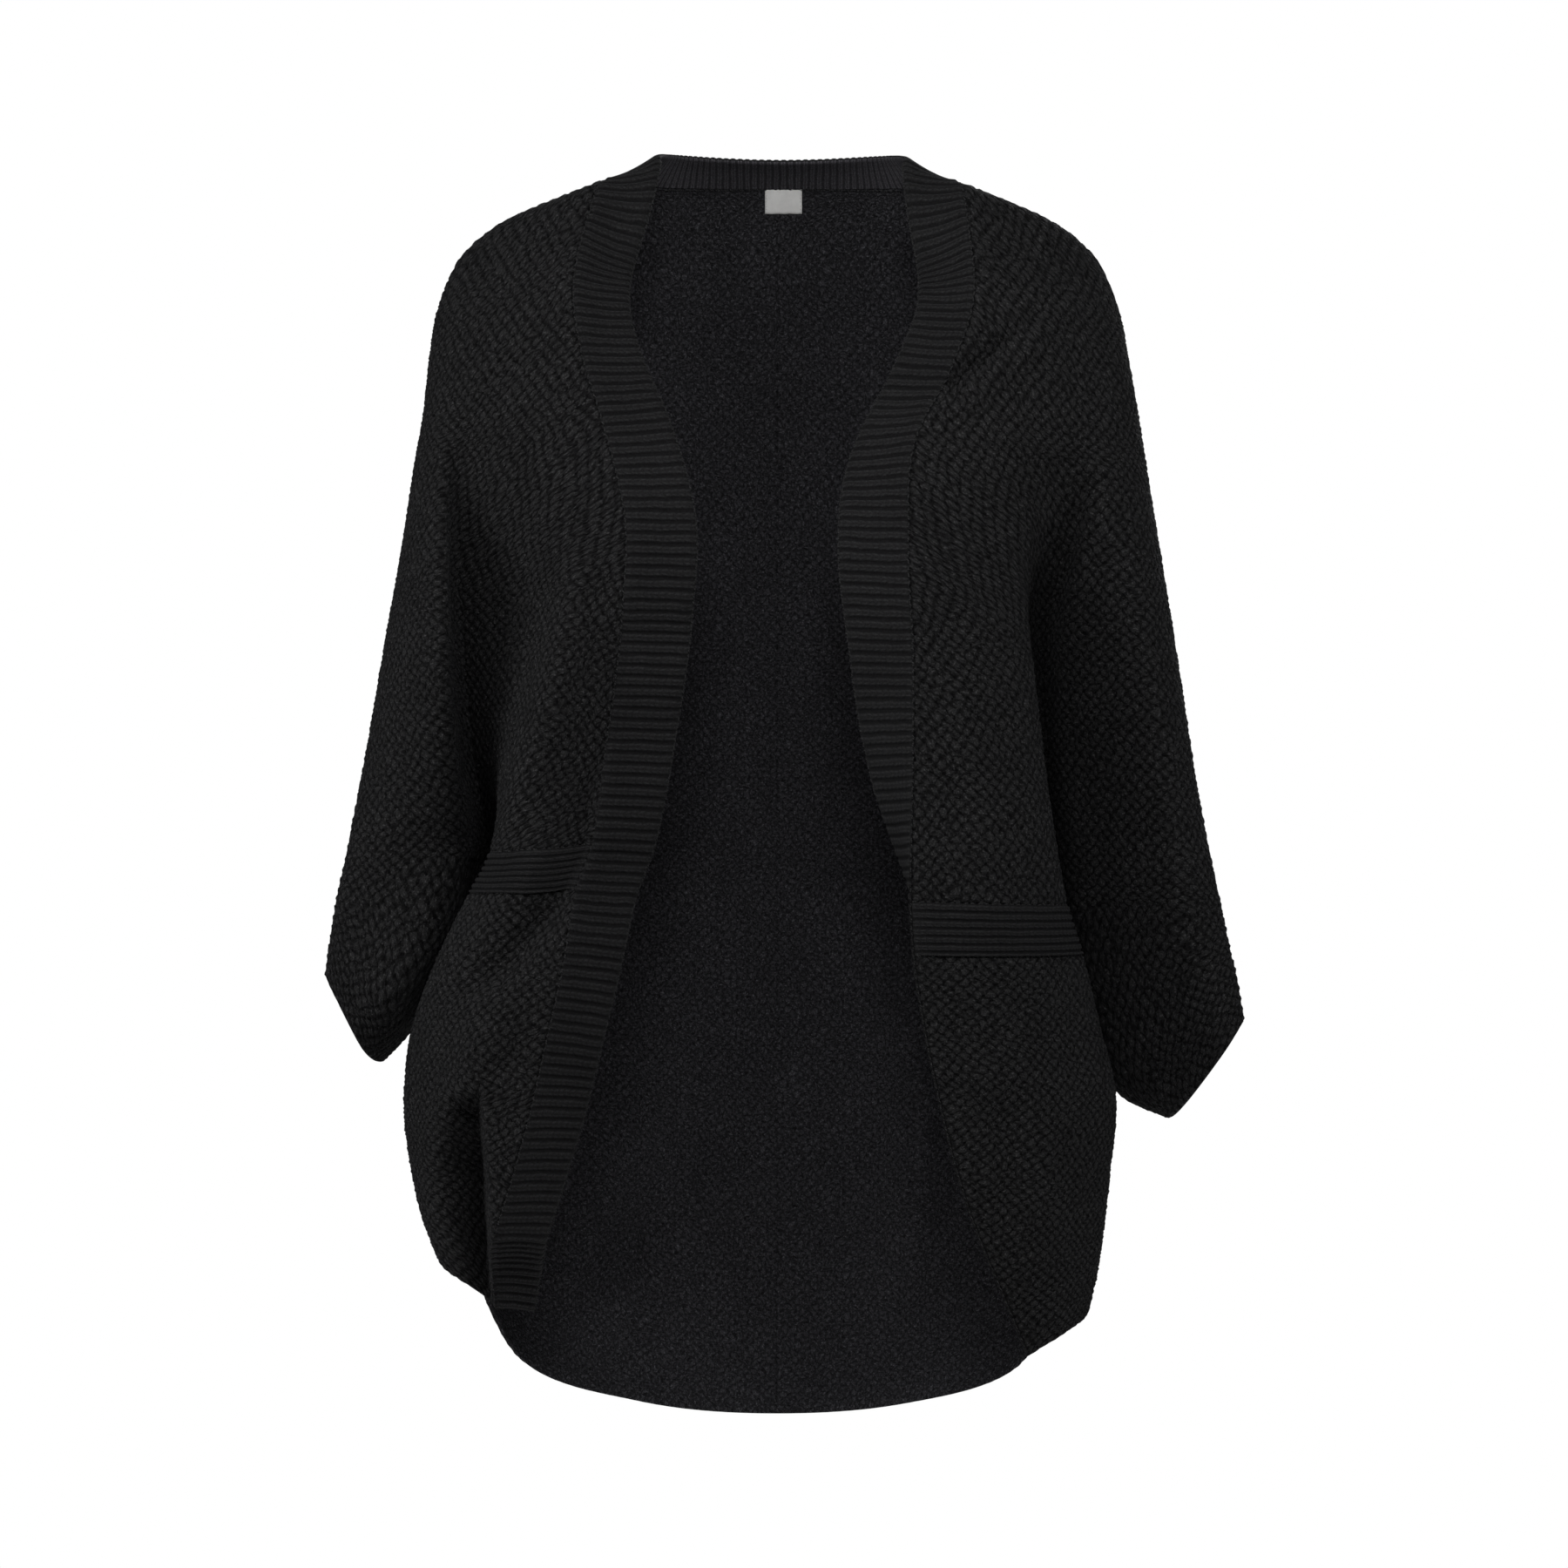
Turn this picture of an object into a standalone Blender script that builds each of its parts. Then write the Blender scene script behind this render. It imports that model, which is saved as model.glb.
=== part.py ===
"""Open-front batwing cardigan in a chunky knit, worn shape with no wearer.

Frame: +X to the wearer's left, +Y to the wearer's back, +Z up. The origin is at the
base of the neck, where the shoulders carry the garment. Tables and sizes are in
millimetres, and the meshes are in metres.

Each side is one surface of rows. A row starts at the front band's seam, crosses the
front, dips into the valley between body and sleeve, rounds the sleeve and comes home
across the back to the centre back. Row 0 is the shoulder seam with the back neckline,
row 1 is the waist seam and the underarm point, and row 2 is the hem. Below row 1 the
sleeve and the body go on as separate tubes. The cut pieces are stretches of it.
"""

import math

import bmesh
import bpy
import numpy as np

MM = 0.001

# ---------------------------------------------------------------- driving sizes (mm)
WALL = 3.2              # thickness of the knit
SEAM_GAP = 0.3          # clearance where two pieces meet at a seam
NECK_WIDTH_AT_BACK = 113.0
NECK_DEPTH_AT_BACK = 74.0
NECK_SEAM_Z = 9.0
NECKBAND_RISE = 16.0    # height of the neckband's free edge over its seam
NECKBAND_LEAN = 29.0    # how far that edge leans in towards the neck
BAND_WIDTH = 44.0
RIB_PITCH = 7.0         # front band, stretched by its own weight
NECK_RIB_PITCH = 5.2    # neckband, relaxed
RIB_HEIGHT = 1.5
WAIST_RIBS = 6
WAIST_RIB_HEIGHT = 1.4
LABEL_SIZE = (25.0, 17.0)
LABEL_THICKNESS = 0.9
LABEL_CENTRE_X = 4.3
UNDERARM_SPLIT = 3.2    # front and back walls pass each other here, above the split

WAIST_ROW = 1.0
LOWER_ROW = 1.1         # lower edge of the waist ribbing
HEM_ROW = 2.0
CUFF_ROW = 1.3
SIDES = {"right": -1.0, "left": 1.0}

# ------------------------------------------------------------- tables, one row each
# row: place down the garment. seam_*: front band's seam. turn: degrees that the band
# turns in from the front plane. rise: slope of its ribs. outer_*: outline of shoulder
# and sleeve. side_*: outermost line of the body front. z is up, y is to the back.
FRONT_COLUMNS = ("row", "seam_x", "seam_y", "seam_z", "turn", "rise", "outer_x", "outer_z")
FRONT = {
    "right": (
        (0.000, 110, 2, 4, 0, 17, 208, -48),
        (0.035, 115, -22, -1, 4, 4, 214, -62),
        (0.085, 124, -48, -32, 12, -12, 220, -80),
        (0.170, 130, -77, -73, 20, -4, 225, -110),
        (0.270, 124, -96, -117, 18, 0, 229, -148),
        (0.370, 111, -108, -159, 14, 4, 235, -184),
        (0.500, 96, -120, -220, 8, 0, 243, -237),
        (0.660, 98, -124, -286, 10, -1, 254, -297),
        (0.830, 107, -124, -358, 18, -1, 266, -367),
        (1.000, 117, -122, -428, 30, -2, 280, -439),
        (1.100, 127, -121, -457, 32, -3, 286, -470),
        (1.240, 134, -119, -500, 38, -5, 292, -506),
        (1.410, 145, -116, -550, 41, -6, 0, 0),
        (1.560, 155, -112, -594, 41, -3, 0, 0),
        (1.710, 167, -107, -638, 39, -2, 0, 0),
        (1.850, 180, -100, -683, 36, -3, 0, 0),
        (2.000, 181, -88, -728, 52, -5, 0, 0),
    ),
    "left": (
        (0.000, 117, 2, 2, 0, 17, 209, -48),
        (0.035, 120, -22, -2, 4, 4, 215, -62),
        (0.085, 124, -48, -34, 12, -13, 222, -82),
        (0.170, 126, -77, -79, 22, 0, 228, -114),
        (0.270, 111, -96, -126, 26, 4, 235, -155),
        (0.370, 88, -108, -173, 24, -3, 241, -193),
        (0.500, 83, -120, -237, 12, 2, 251, -254),
        (0.660, 86, -124, -310, 28, 2, 262, -322),
        (0.830, 86, -124, -387, 56, -1, 274, -399),
        (1.000, 85, -121, -464, 94, 0, 289, -473),
        (1.100, 87, -120, -498, 100, 0, 296, -500),
        (1.240, 93, -118, -539, 104, 0, 303, -536),
        (1.410, 103, -115, -588, 106, 0, 0, 0),
        (1.560, 114, -110, -632, 106, 0, 0, 0),
        (1.710, 127, -103, -672, 106, 0, 0, 0),
        (1.850, 144, -93, -713, 104, 0, 0, 0),
        (2.000, 161, -80, -754, 100, 0, 0, 0),
    ),
}
# side_*: outermost line of the body. valley_*: bottom of the dip between body and
# sleeve on the front, which below row 1 is the side seam. back_valley_y: the same dip
# on the back.
BODY_COLUMNS = ("row", "side_x", "side_y", "valley_x", "valley_y", "valley_z", "back_valley_y")
BODY = {
    "right": (
        (0.370, 172, -88, 196, -52, -172, 84),
        (0.500, 174, -86, 192, -32, -230, 78),
        (0.660, 178, -80, 188, -6, -292, 66),
        (0.830, 176, -72, 184, 14, -364, 50),
        (1.000, 182, -64, 184, 31, -437, 31),
        (1.100, 195, -55, 188, 30, -462, 30),
        (1.240, 216, -44, 202, 28, -505, 28),
        (1.410, 235, -32, 220, 27, -553, 27),
        (1.560, 240, -26, 226, 26, -597, 26),
        (1.710, 237, -24, 224, 25, -628, 25),
        (1.850, 230, -24, 218, 24, -656, 24),
        (2.000, 218, -24, 208, 22, -684, 22),
    ),
    "left": (
        (0.370, 142, -92, 182, -56, -182, 84),
        (0.500, 150, -88, 176, -34, -246, 78),
        (0.660, 160, -78, 174, -6, -316, 66),
        (0.830, 170, -68, 176, 14, -393, 50),
        (1.000, 184, -60, 184, 31, -470, 31),
        (1.100, 194, -52, 186, 30, -501, 30),
        (1.240, 205, -42, 194, 28, -546, 28),
        (1.410, 217, -32, 204, 27, -597, 27),
        (1.560, 214, -28, 203, 26, -640, 26),
        (1.710, 210, -26, 200, 25, -680, 25),
        (1.850, 206, -26, 196, 24, -704, 24),
        (2.000, 200, -26, 190, 22, -722, 22),
    ),
}
# half depth of the sleeve, and the centre back, which both sides share
DEPTH_COLUMNS = ("row", "sleeve_depth", "outer_y", "back_y", "back_z")
DEPTHS = (
    (0.000, 0, 2, 78, 6),
    (0.035, 22, 2, 84, -12),
    (0.085, 42, 2, 92, -34),
    (0.170, 54, 2, 101, -74),
    (0.270, 61, 2, 107, -122),
    (0.370, 64, 2, 110, -170),
    (0.500, 62, 1, 110, -234),
    (0.660, 58, 0, 106, -306),
    (0.830, 53, -2, 101, -384),
    (1.000, 46, -4, 102, -458),
    (1.100, 43, -5, 106, -496),
    (1.240, 37, -7, 114, -548),
    (1.410, 34, -8, 121, -608),
    (1.560, 34, -8, 124, -662),
    (1.710, 34, -8, 122, -714),
    (1.850, 34, -8, 114, -765),
    (2.000, 34, -8, 102, -815),
)
# lower part of the sleeve: underarm seam and top line from the split to the cuff
SLEEVE_COLUMNS = ("row", "inner_x", "inner_y", "inner_z", "outer_x", "outer_z")
SLEEVE = {
    "right": (
        (1.000, 184, 31, -437, 280, -439),
        (1.100, 206, 47, -497, 286, -466),
        (1.200, 244, 49, -552, 290, -492),
        (1.300, 263, 36, -573, 293, -516),
    ),
    "left": (
        (1.000, 184, 31, -470, 289, -473),
        (1.100, 200, 48, -532, 294, -497),
        (1.200, 224, 50, -590, 299, -519),
        (1.300, 260, 36, -610, 303, -545),
    ),
}
HEM_ROUNDING = {"right": 0.66, "left": 0.76}    # 1 is an oval hem, less is squarer
CUFF_BACK_DROP = 9.0    # the cuff's back layer hangs lower than its front layer
# folds: knots of a line in the front view, its half width there and how far the cloth
# sinks along it, or rises where that is negative
FOLD_COLUMNS = ("x", "z", "half_width", "depth")
FOLDS = {
    "right": (
        ((90, -276, 14, 0), (115, -373, 22, 7), (138, -447, 24, 9), (178, -499, 22, 8), (216, -539, 18, 0)),
        ((135, -242, 16, 0), (145, -311, 18, -4), (164, -390, 20, -5), (186, -440, 18, 0)),
        ((194, -596, 7, 0), (197, -640, 10, 12), (200, -690, 16, 20), (200, -740, 18, 24)),
    ),
    "left": (
        ((97, -160, 12, 0), (135, -133, 14, 4), (172, -106, 12, 0)),
        ((128, -560, 20, 0), (145, -610, 24, 5), (160, -660, 20, 0)),
    ),
}

FRONT_POINTS = 7        # control points from the seam to the outer line
UPPER_ROWS = (0, .03, .06, .095, .13, .17, .215, .26, .305, .35, .4, .45, .505, .565, .63, .7, .77, .84, .91, .96, 1)
CUFF_ROWS = (1, 1.05, 1.11, 1.18, 1.25, 1.3)
LOWER_ROWS = (1.1, 1.17, 1.26, 1.36, 1.46, 1.56, 1.66, 1.76, 1.85, 1.93, 2)
BODY_SHARES = tuple(np.linspace(0, 1, 11))
SLEEVE_SHARES = tuple(np.linspace(0, 1, 8))
BACK_SHARES = tuple(np.linspace(0, 1, 9))
YARN = (0.011, 0.011, 0.012, 1.0)
RIB_YARN = (0.013, 0.013, 0.013, 1.0)
LABEL_WHITE = (0.80, 0.79, 0.77, 1.0)


# ------------------------------------------------------------------ smooth tables
def smooth(rows, names, name, at):
    """Value of one table column at any row, on a smooth curve through the table."""
    table = np.array(rows, float)
    x = table[:, 0]
    y = table[:, names.index(name)]
    slope = np.gradient(y, x)
    at = np.clip(np.asarray(at, float), x[0], x[-1])
    i = np.clip(np.searchsorted(x, at, side="right") - 1, 0, len(x) - 2)
    h = x[i + 1] - x[i]
    t = (at - x[i]) / h
    return (
        y[i] * (1 + 2 * t) * (1 - t) ** 2
        + slope[i] * h * t * (1 - t) ** 2
        + y[i + 1] * t * t * (3 - 2 * t)
        + slope[i + 1] * h * t * t * (t - 1)
    )


def ease(value, low, high):
    """0 below low, 1 above high, and smooth between."""
    t = np.clip((np.asarray(value, float) - low) / (high - low), 0.0, 1.0)
    return t * t * (3 - 2 * t)


def mix(a, b, share):
    share = np.asarray(share)[..., None]
    return a * (1 - share) + b * share


def points(x, y, z):
    return np.stack(np.broadcast_arrays(x, y, z), axis=-1).astype(float)


# ------------------------------------------------------- control points of each row
def front_reader(side):
    return lambda name, row: smooth(FRONT[side], FRONT_COLUMNS, name, row)


def seam_point(side, row):
    read = front_reader(side)
    return points(read("seam_x", row), read("seam_y", row), read("seam_z", row))


def outer_point(side, row):
    read = front_reader(side)
    depth = smooth(DEPTHS, DEPTH_COLUMNS, "outer_y", row)
    return points(read("outer_x", row), depth, read("outer_z", row))


def shoulder_drop(share):
    """How far down the shoulder's outline has come at a share of its width."""
    return 0.67 * share + 0.33 * share**5


def front_rounds(side, row):
    """Control points of a row whose body and sleeve are two rounds with a valley."""
    seam = seam_point(side, row)
    outer = outer_point(side, row)
    body = {n: smooth(BODY[side], BODY_COLUMNS, n, row) for n in BODY_COLUMNS[1:]}
    depth = smooth(DEPTHS, DEPTH_COLUMNS, "sleeve_depth", row)
    hip = points(body["side_x"], body["side_y"], seam[:, 2] * 0.35 + body["valley_z"] * 0.65)
    chest = mix(seam, hip, np.full(len(seam), 0.55))
    chest[:, 1] = seam[:, 1] + (hip[:, 1] - seam[:, 1]) * 0.22
    valley = valley_point(side, row, -1.0)
    sleeve = [sleeve_round(valley, outer, depth, angle, -1.0) for angle in (128.0, 62.0)]
    return np.stack([seam, chest, hip, valley] + sleeve + [outer], axis=1)


def back_rounds(side, row):
    """The same for the back, from the outer line to the centre back."""
    outer = outer_point(side, row)
    depth = smooth(DEPTHS, DEPTH_COLUMNS, "sleeve_depth", row)
    back_y = smooth(DEPTHS, DEPTH_COLUMNS, "back_y", row)
    back_z = smooth(DEPTHS, DEPTH_COLUMNS, "back_z", row)
    valley = valley_point(side, row, 1.0)
    controls = [outer]
    controls += [sleeve_round(valley, outer, depth, angle, 1.0) for angle in (62.0, 128.0)]
    for degrees in (0.0, 34.0, 63.0, 90.0):
        turn = math.radians(degrees)
        controls.append(points(
            valley[:, 0] * math.cos(turn),
            valley[:, 1] + (back_y - valley[:, 1]) * math.sin(turn) ** 0.9,
            valley[:, 2] + (back_z - valley[:, 2]) * math.sin(turn) ** HEM_ROUNDING[side],
        ))
    return np.stack(controls, axis=1)


def valley_point(side, row, facing):
    """Bottom of the valley, front (-1) or back (1). From the split down: the side seam."""
    read = {n: smooth(BODY[side], BODY_COLUMNS, n, row) for n in BODY_COLUMNS[1:]}
    y = read["valley_y"] if facing < 0 else read["back_valley_y"]
    y = np.where(row > WAIST_ROW, read["valley_y"], y)
    part = UNDERARM_SPLIT * ease(row, 0.6, 0.95) * (1 - ease(row, WAIST_ROW, 1.05))
    return points(read["valley_x"], y + facing * part, read["valley_z"])


def sleeve_round(inner, outer, depth, degrees, facing):
    """Point on the sleeve's oval, from 0 at the outer line to 180 at the inner one."""
    angle = math.radians(degrees)
    point = mix(inner, outer, np.full(len(inner), (1 + math.cos(angle)) / 2))
    point[:, 1] += facing * depth * math.sin(angle)
    return point


def front_single(side, row, share):
    """Upper front as one round, from the seam (share 0) to the outer line (share 1)."""
    seam = seam_point(side, row)[:, None]
    outer = outer_point(side, row)[:, None]
    turn = np.asarray(share)[None, :] * math.pi / 2
    across = np.sin(turn)
    straight = ease(row, 0.0, 0.25)[:, None]
    fall = across * straight + shoulder_drop(across) * (1 - straight)
    return points(
        seam[..., 0] + (outer[..., 0] - seam[..., 0]) * across,
        outer[..., 1] + (seam[..., 1] - outer[..., 1]) * np.cos(turn) ** 0.85,
        seam[..., 2] + (outer[..., 2] - seam[..., 2]) * fall,
    )


def back_single(side, row, share):
    """Upper back as one round, from the outer line (share 0) to the centre back."""
    outer = outer_point(side, row)[:, None]
    back_y = smooth(DEPTHS, DEPTH_COLUMNS, "back_y", row)[:, None]
    back_z = smooth(DEPTHS, DEPTH_COLUMNS, "back_z", row)[:, None]
    turn = np.asarray(share)[None, :] * math.pi / 2
    round_back = points(
        outer[..., 0] * np.cos(turn),
        outer[..., 1] + (back_y - outer[..., 1]) * np.sin(turn) ** 0.9,
        outer[..., 2] + (back_z - outer[..., 2]) * np.sin(turn),
    )
    left = np.clip(1 - row / 0.16, 0.0, 1.0)
    grid = mix(neckline(side, share)[None], round_back, 1 - left[:, None] ** 2)
    tip = points(*neckline(side, np.zeros(1))[0])
    missing = (outer[:, 0] - tip) * left[:, None] ** 2
    return grid + missing[:, None] * (np.clip(1 - np.asarray(share) / 0.25, 0, 1) ** 2)[None, :, None]


def neckline(side, share):
    """Row 0 of the back: shoulder seam up to half the share, then round the neck."""
    share = np.asarray(share, float)
    seam = seam_point(side, np.zeros(1))[0]
    tip = outer_point(side, np.zeros(1))[0]
    up = np.clip(1 - 2 * share, 0.0, 1.0)
    turn = np.clip(2 * share - 1, 0.0, 1.0) * math.pi / 2
    shoulder = points(
        seam[0] + (tip[0] - seam[0]) * up,
        seam[1] + (tip[1] - seam[1]) * up,
        seam[2] + (tip[2] - seam[2]) * shoulder_drop(up),
    )
    neck = points(
        seam[0] * np.cos(turn),
        seam[1] + NECK_DEPTH_AT_BACK * np.sin(turn),
        seam[2] + (NECK_SEAM_Z - seam[2]) * np.sin(turn),
    )
    return np.where((share < 0.5)[:, None], shoulder, neck)


# ---------------------------------------------------------------- curves along a row
def curve(controls, start, end, shares):
    """Smooth curve through each row's control points, with given end directions.

    start and end are unit directions, or None where the curve just runs out.
    """
    n = controls.shape[1]
    chords = np.linalg.norm(np.diff(controls, axis=1), axis=2)
    slopes = np.zeros_like(controls)
    slopes[:, 1:-1] = (controls[:, 2:] - controls[:, :-2]) / 2
    slopes[:, 0] = controls[:, 1] - controls[:, 0]
    slopes[:, -1] = controls[:, -1] - controls[:, -2]
    if start is not None:
        slopes[:, 0] = start * chords[:, :1] * 1.1
    if end is not None:
        slopes[:, -1] = end * chords[:, -1:] * 1.1
    place = np.asarray(shares) * (n - 1)
    i = np.clip(place.astype(int), 0, n - 2)
    t = (place - i)[None, :, None]
    return (
        controls[:, i] * (1 + 2 * t) * (1 - t) ** 2
        + slopes[:, i] * t * (1 - t) ** 2
        + controls[:, i + 1] * t * t * (3 - 2 * t)
        + slopes[:, i + 1] * t * t * (t - 1)
    )


def valley_direction(row, y_sign, x_sign):
    """Direction of a row as it enters or leaves the valley between body and sleeve."""
    steep = np.radians(52.0 * ease(row, 0.30, 0.85) + 38.0 * ease(row, 1.0, 1.15))
    return points(x_sign * np.cos(steep), y_sign * np.sin(steep), 0.0)


def add_folds(grid, side):
    """Sinks the cloth along each fold line of this side, seen in the front view."""
    for knots in FOLDS[side]:
        knots = np.array(knots, float)
        best = np.full(grid.shape[:2], 1e9)
        sink = np.zeros(grid.shape[:2])
        for (x0, z0, w0, d0), (x1, z1, w1, d1) in zip(knots[:-1], knots[1:]):
            run = np.array([x1 - x0, z1 - z0])
            place = ((grid[..., 0] - x0) * run[0] + (grid[..., 2] - z0) * run[1]) / (run @ run)
            place = np.clip(place, 0.0, 1.0)
            away = np.hypot(grid[..., 0] - x0 - run[0] * place, grid[..., 2] - z0 - run[1] * place)
            share = away / (w0 + (w1 - w0) * place)
            value = (d0 + (d1 - d0) * ease(place, 0.0, 1.0)) * (1 - ease(share, 0.0, 1.0))
            sink = np.where(share < best, value, sink)
            best = np.minimum(best, share)
        grid[..., 1] += sink * (1 - ease(grid[..., 1], -45.0, 0.0))
    return grid


def panel(side, part, rows, shares):
    """Grid of points, in mm, for one stretch of a side. part names the stretch."""
    row = np.asarray(rows, float)
    shares = np.asarray(shares, float)
    lobes = ease(row, 0.22, 0.62)[:, None]
    left = points(np.full(len(row), -1.0), 0.0, 0.0)
    if part == "body_front":
        grid = curve(front_rounds(side, row)[:, :4], None, valley_direction(row, 1.0, 1.0), shares)
        grid = mix(front_single(side, row, shares / 2), grid, lobes)
        return signed(add_folds(grid, side), side)
    if part == "body_back":
        grid = curve(back_rounds(side, row)[:, 3:], valley_direction(row, 1.0, -1.0), left, shares)
        grid = mix(back_single(side, row, 0.5 + shares / 2), grid, lobes)
        return signed(grid, side)
    upper = np.minimum(row, WAIST_ROW)
    front = front_rounds(side, upper)[:, 3:]
    back = back_rounds(side, upper)[:, :4]
    low = row > WAIST_ROW
    if low.any():
        front[low], back[low] = sleeve_end(side, row[low])
    around = back[:, 1] - front[:, -2]
    if part == "sleeve_front":
        grid = curve(front, valley_direction(row, -1.0, 1.0), None, shares)
        grid += outer_slope(front, around, shares, part)
        grid = mix(front_single(side, upper, 0.5 + shares / 2), grid, lobes)
        return signed(add_folds(grid, side), side)
    grid = curve(back, None, valley_direction(row, -1.0, -1.0), shares)
    grid += outer_slope(back, around, shares, part)
    grid = mix(back_single(side, upper, shares / 2), grid, lobes)
    return signed(grid, side)


def outer_slope(controls, around, shares, part):
    """Makes front and back share one direction where they meet at the outer line."""
    n = controls.shape[1]
    place = np.asarray(shares) * (n - 1)
    if part == "sleeve_front":
        t = np.clip(place - (n - 2), 0, 1)[None, :, None]
        current = controls[:, -1] - controls[:, -2]
        return (around / 2 - current)[:, None] * t * t * (t - 1)
    t = np.clip(place, 0, 1)[None, :, None]
    current = controls[:, 1] - controls[:, 0]
    return (around / 2 - current)[:, None] * t * (1 - t) ** 2


def sleeve_end(side, row):
    """Control points of the sleeve's front and back between the split and the cuff."""
    def read(name):
        return smooth(SLEEVE[side], SLEEVE_COLUMNS, name, row)

    part = UNDERARM_SPLIT * (1 - ease(row, WAIST_ROW, 1.05))
    outer = points(read("outer_x"), smooth(DEPTHS, DEPTH_COLUMNS, "outer_y", row), read("outer_z"))
    depth = smooth(DEPTHS, DEPTH_COLUMNS, "sleeve_depth", row)
    drop = CUFF_BACK_DROP * ease(row, 1.1, CUFF_ROW)
    ends = []
    for facing in (-1.0, 1.0):
        inner = points(read("inner_x"), read("inner_y") + facing * part, read("inner_z"))
        rounds = [sleeve_round(inner, outer, depth, a, facing) for a in (128.0, 62.0)]
        for point in rounds:
            point[:, 2] -= drop * max(facing, 0.0)
        ends.append([inner] + rounds + [outer])
    front, back = ends
    return np.stack(front, axis=1), np.stack(back[::-1], axis=1)


def signed(grid, side):
    """Turns distances from the centre line into X, negative on the wearer's right."""
    grid = grid.copy()
    grid[..., 0] *= SIDES[side]
    return grid


# ------------------------------------------------------------------- mesh building
def material(name, colour, roughness):
    made = bpy.data.materials.new(name)
    made.use_nodes = True
    shader = made.node_tree.nodes["Principled BSDF"]
    shader.inputs["Base Color"].default_value = colour
    shader.inputs["Roughness"].default_value = roughness
    shader.inputs["Metallic"].default_value = 0.0
    return made


def link(name, vertices, faces, finish, collection):
    """Object from points in mm, with its material, in the garment's collection."""
    mesh = bpy.data.meshes.new(name)
    mesh.from_pydata([tuple(v * MM) for v in vertices], [], faces)
    mesh.validate()
    mesh.shade_smooth()
    mesh.materials.append(finish)
    obj = bpy.data.objects.new(name, mesh)
    collection.objects.link(obj)
    return obj


def band_patch(side, rows, seam):
    """Front band, from its seam to the free edge, at the rows of the panels' edge."""
    read = front_reader(side)
    turn = np.radians(read("turn", rows))
    rise = read("rise", rows)
    width = BAND_WIDTH * (0.86 + 0.16 * ease(rows, 0.15, 0.5) - 0.16 * ease(rows, 1.5, 2.0))
    level = np.sqrt(width**2 - rise**2)
    across = points(-SIDES[side] * np.cos(turn) * level, np.sin(turn) * level, rise)
    bulge = np.cross(np.gradient(seam, axis=0), across)
    bulge /= np.linalg.norm(bulge, axis=1, keepdims=True)
    middle = seam + across / 2 + bulge * (SIDES[side] * 2.0)
    return np.stack([seam, middle, seam + across], axis=1)


def neckband_patch(seam, right_end, left_end):
    """Neckband on the back's neck edge. Its ends are those of the front bands."""
    turn = np.linspace(0.0, math.pi, len(seam))
    across = points(0.0, -NECKBAND_LEAN * np.sin(turn), NECKBAND_RISE * np.sin(turn) ** 2)
    for chord, share in (
        (right_end[2] - right_end[0], np.maximum(np.cos(turn), 0.0)),
        (left_end[2] - left_end[0], np.maximum(-np.cos(turn), 0.0)),
    ):
        across += points(chord[0] * share, chord[1] * share, chord[2] * share**2)
    puff = np.outer(np.sin(turn), (0.0, 1.5, 1.5))
    puff += np.outer(1 - np.sin(turn), right_end[1] - (right_end[0] + right_end[2]) / 2) * [0, 0, 1]
    return np.stack([seam, seam + across / 2 + puff, seam + across], axis=1)


def half_walls(patches):
    """Half-thickness vectors of every patch, mitred where patches share points.

    A wall that turns at a seam is cut along the plane that halves the turn, so that
    the pieces on both sides meet face to face.
    """
    total = {}
    cells = []
    for name, (grid, facing) in patches.items():
        diagonal = np.cross(grid[1:, 1:] - grid[:-1, :-1], grid[:-1, 1:] - grid[1:, :-1]) * facing
        for i in range(diagonal.shape[0]):
            for j in range(diagonal.shape[1]):
                corners = {tuple(np.round(grid[i + a, j + b], 2)) for a in (0, 1) for b in (0, 1)}
                cells.append((diagonal[i, j], corners))
                for key in corners:
                    total[key] = total.get(key, np.zeros(3)) + unit(diagonal[i, j])
    lean = {}
    for normal, corners in cells:
        for key in corners:
            cosine = max(0.5, float(unit(total[key]) @ unit(normal)))
            lean[key] = min(lean.get(key, 1.0), cosine)
    halves = {}
    for name, (grid, _) in patches.items():
        half = np.zeros_like(grid)
        for i in range(grid.shape[0]):
            for j in range(grid.shape[1]):
                key = tuple(np.round(grid[i, j], 2))
                half[i, j] = unit(total[key]) * (WALL / 2 / (0.5 + 0.5 * lean[key]) ** 1.0)
        halves[name] = half
    return halves


def unit(vector):
    length = np.linalg.norm(vector)
    return vector / length if length > 1e-9 else vector


def draw_back(grid, half, edge):
    """Moves one edge of a patch in by its share of the seam's clearance.

    A top or outer seam lies in a plane across the body, so there the move is along Y.
    """
    grid = grid.copy()
    near, far = {
        "first_row": (np.s_[0], np.s_[1]), "last_row": (np.s_[-1], np.s_[-2]),
        "first_column": (np.s_[:, 0], np.s_[:, 1]), "last_column": (np.s_[:, -1], np.s_[:, -2]),
        "shoulder": (np.s_[0], np.s_[1]), "front_outer": (np.s_[:, -1], np.s_[:, -2]),
        "back_outer": (np.s_[:, 0], np.s_[:, 1]),
    }[edge]
    step = grid[far] - grid[near]
    if edge in ("shoulder", "front_outer", "back_outer"):
        grid[near][..., 1] += math.copysign(SEAM_GAP / 2, step[..., 1].mean())
        return grid
    amount = SEAM_GAP / 2 * np.linalg.norm(half[near], axis=-1, keepdims=True) / (WALL / 2)
    grid[near] += step / np.maximum(np.linalg.norm(step, axis=-1, keepdims=True), 1e-6) * amount
    return grid


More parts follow.
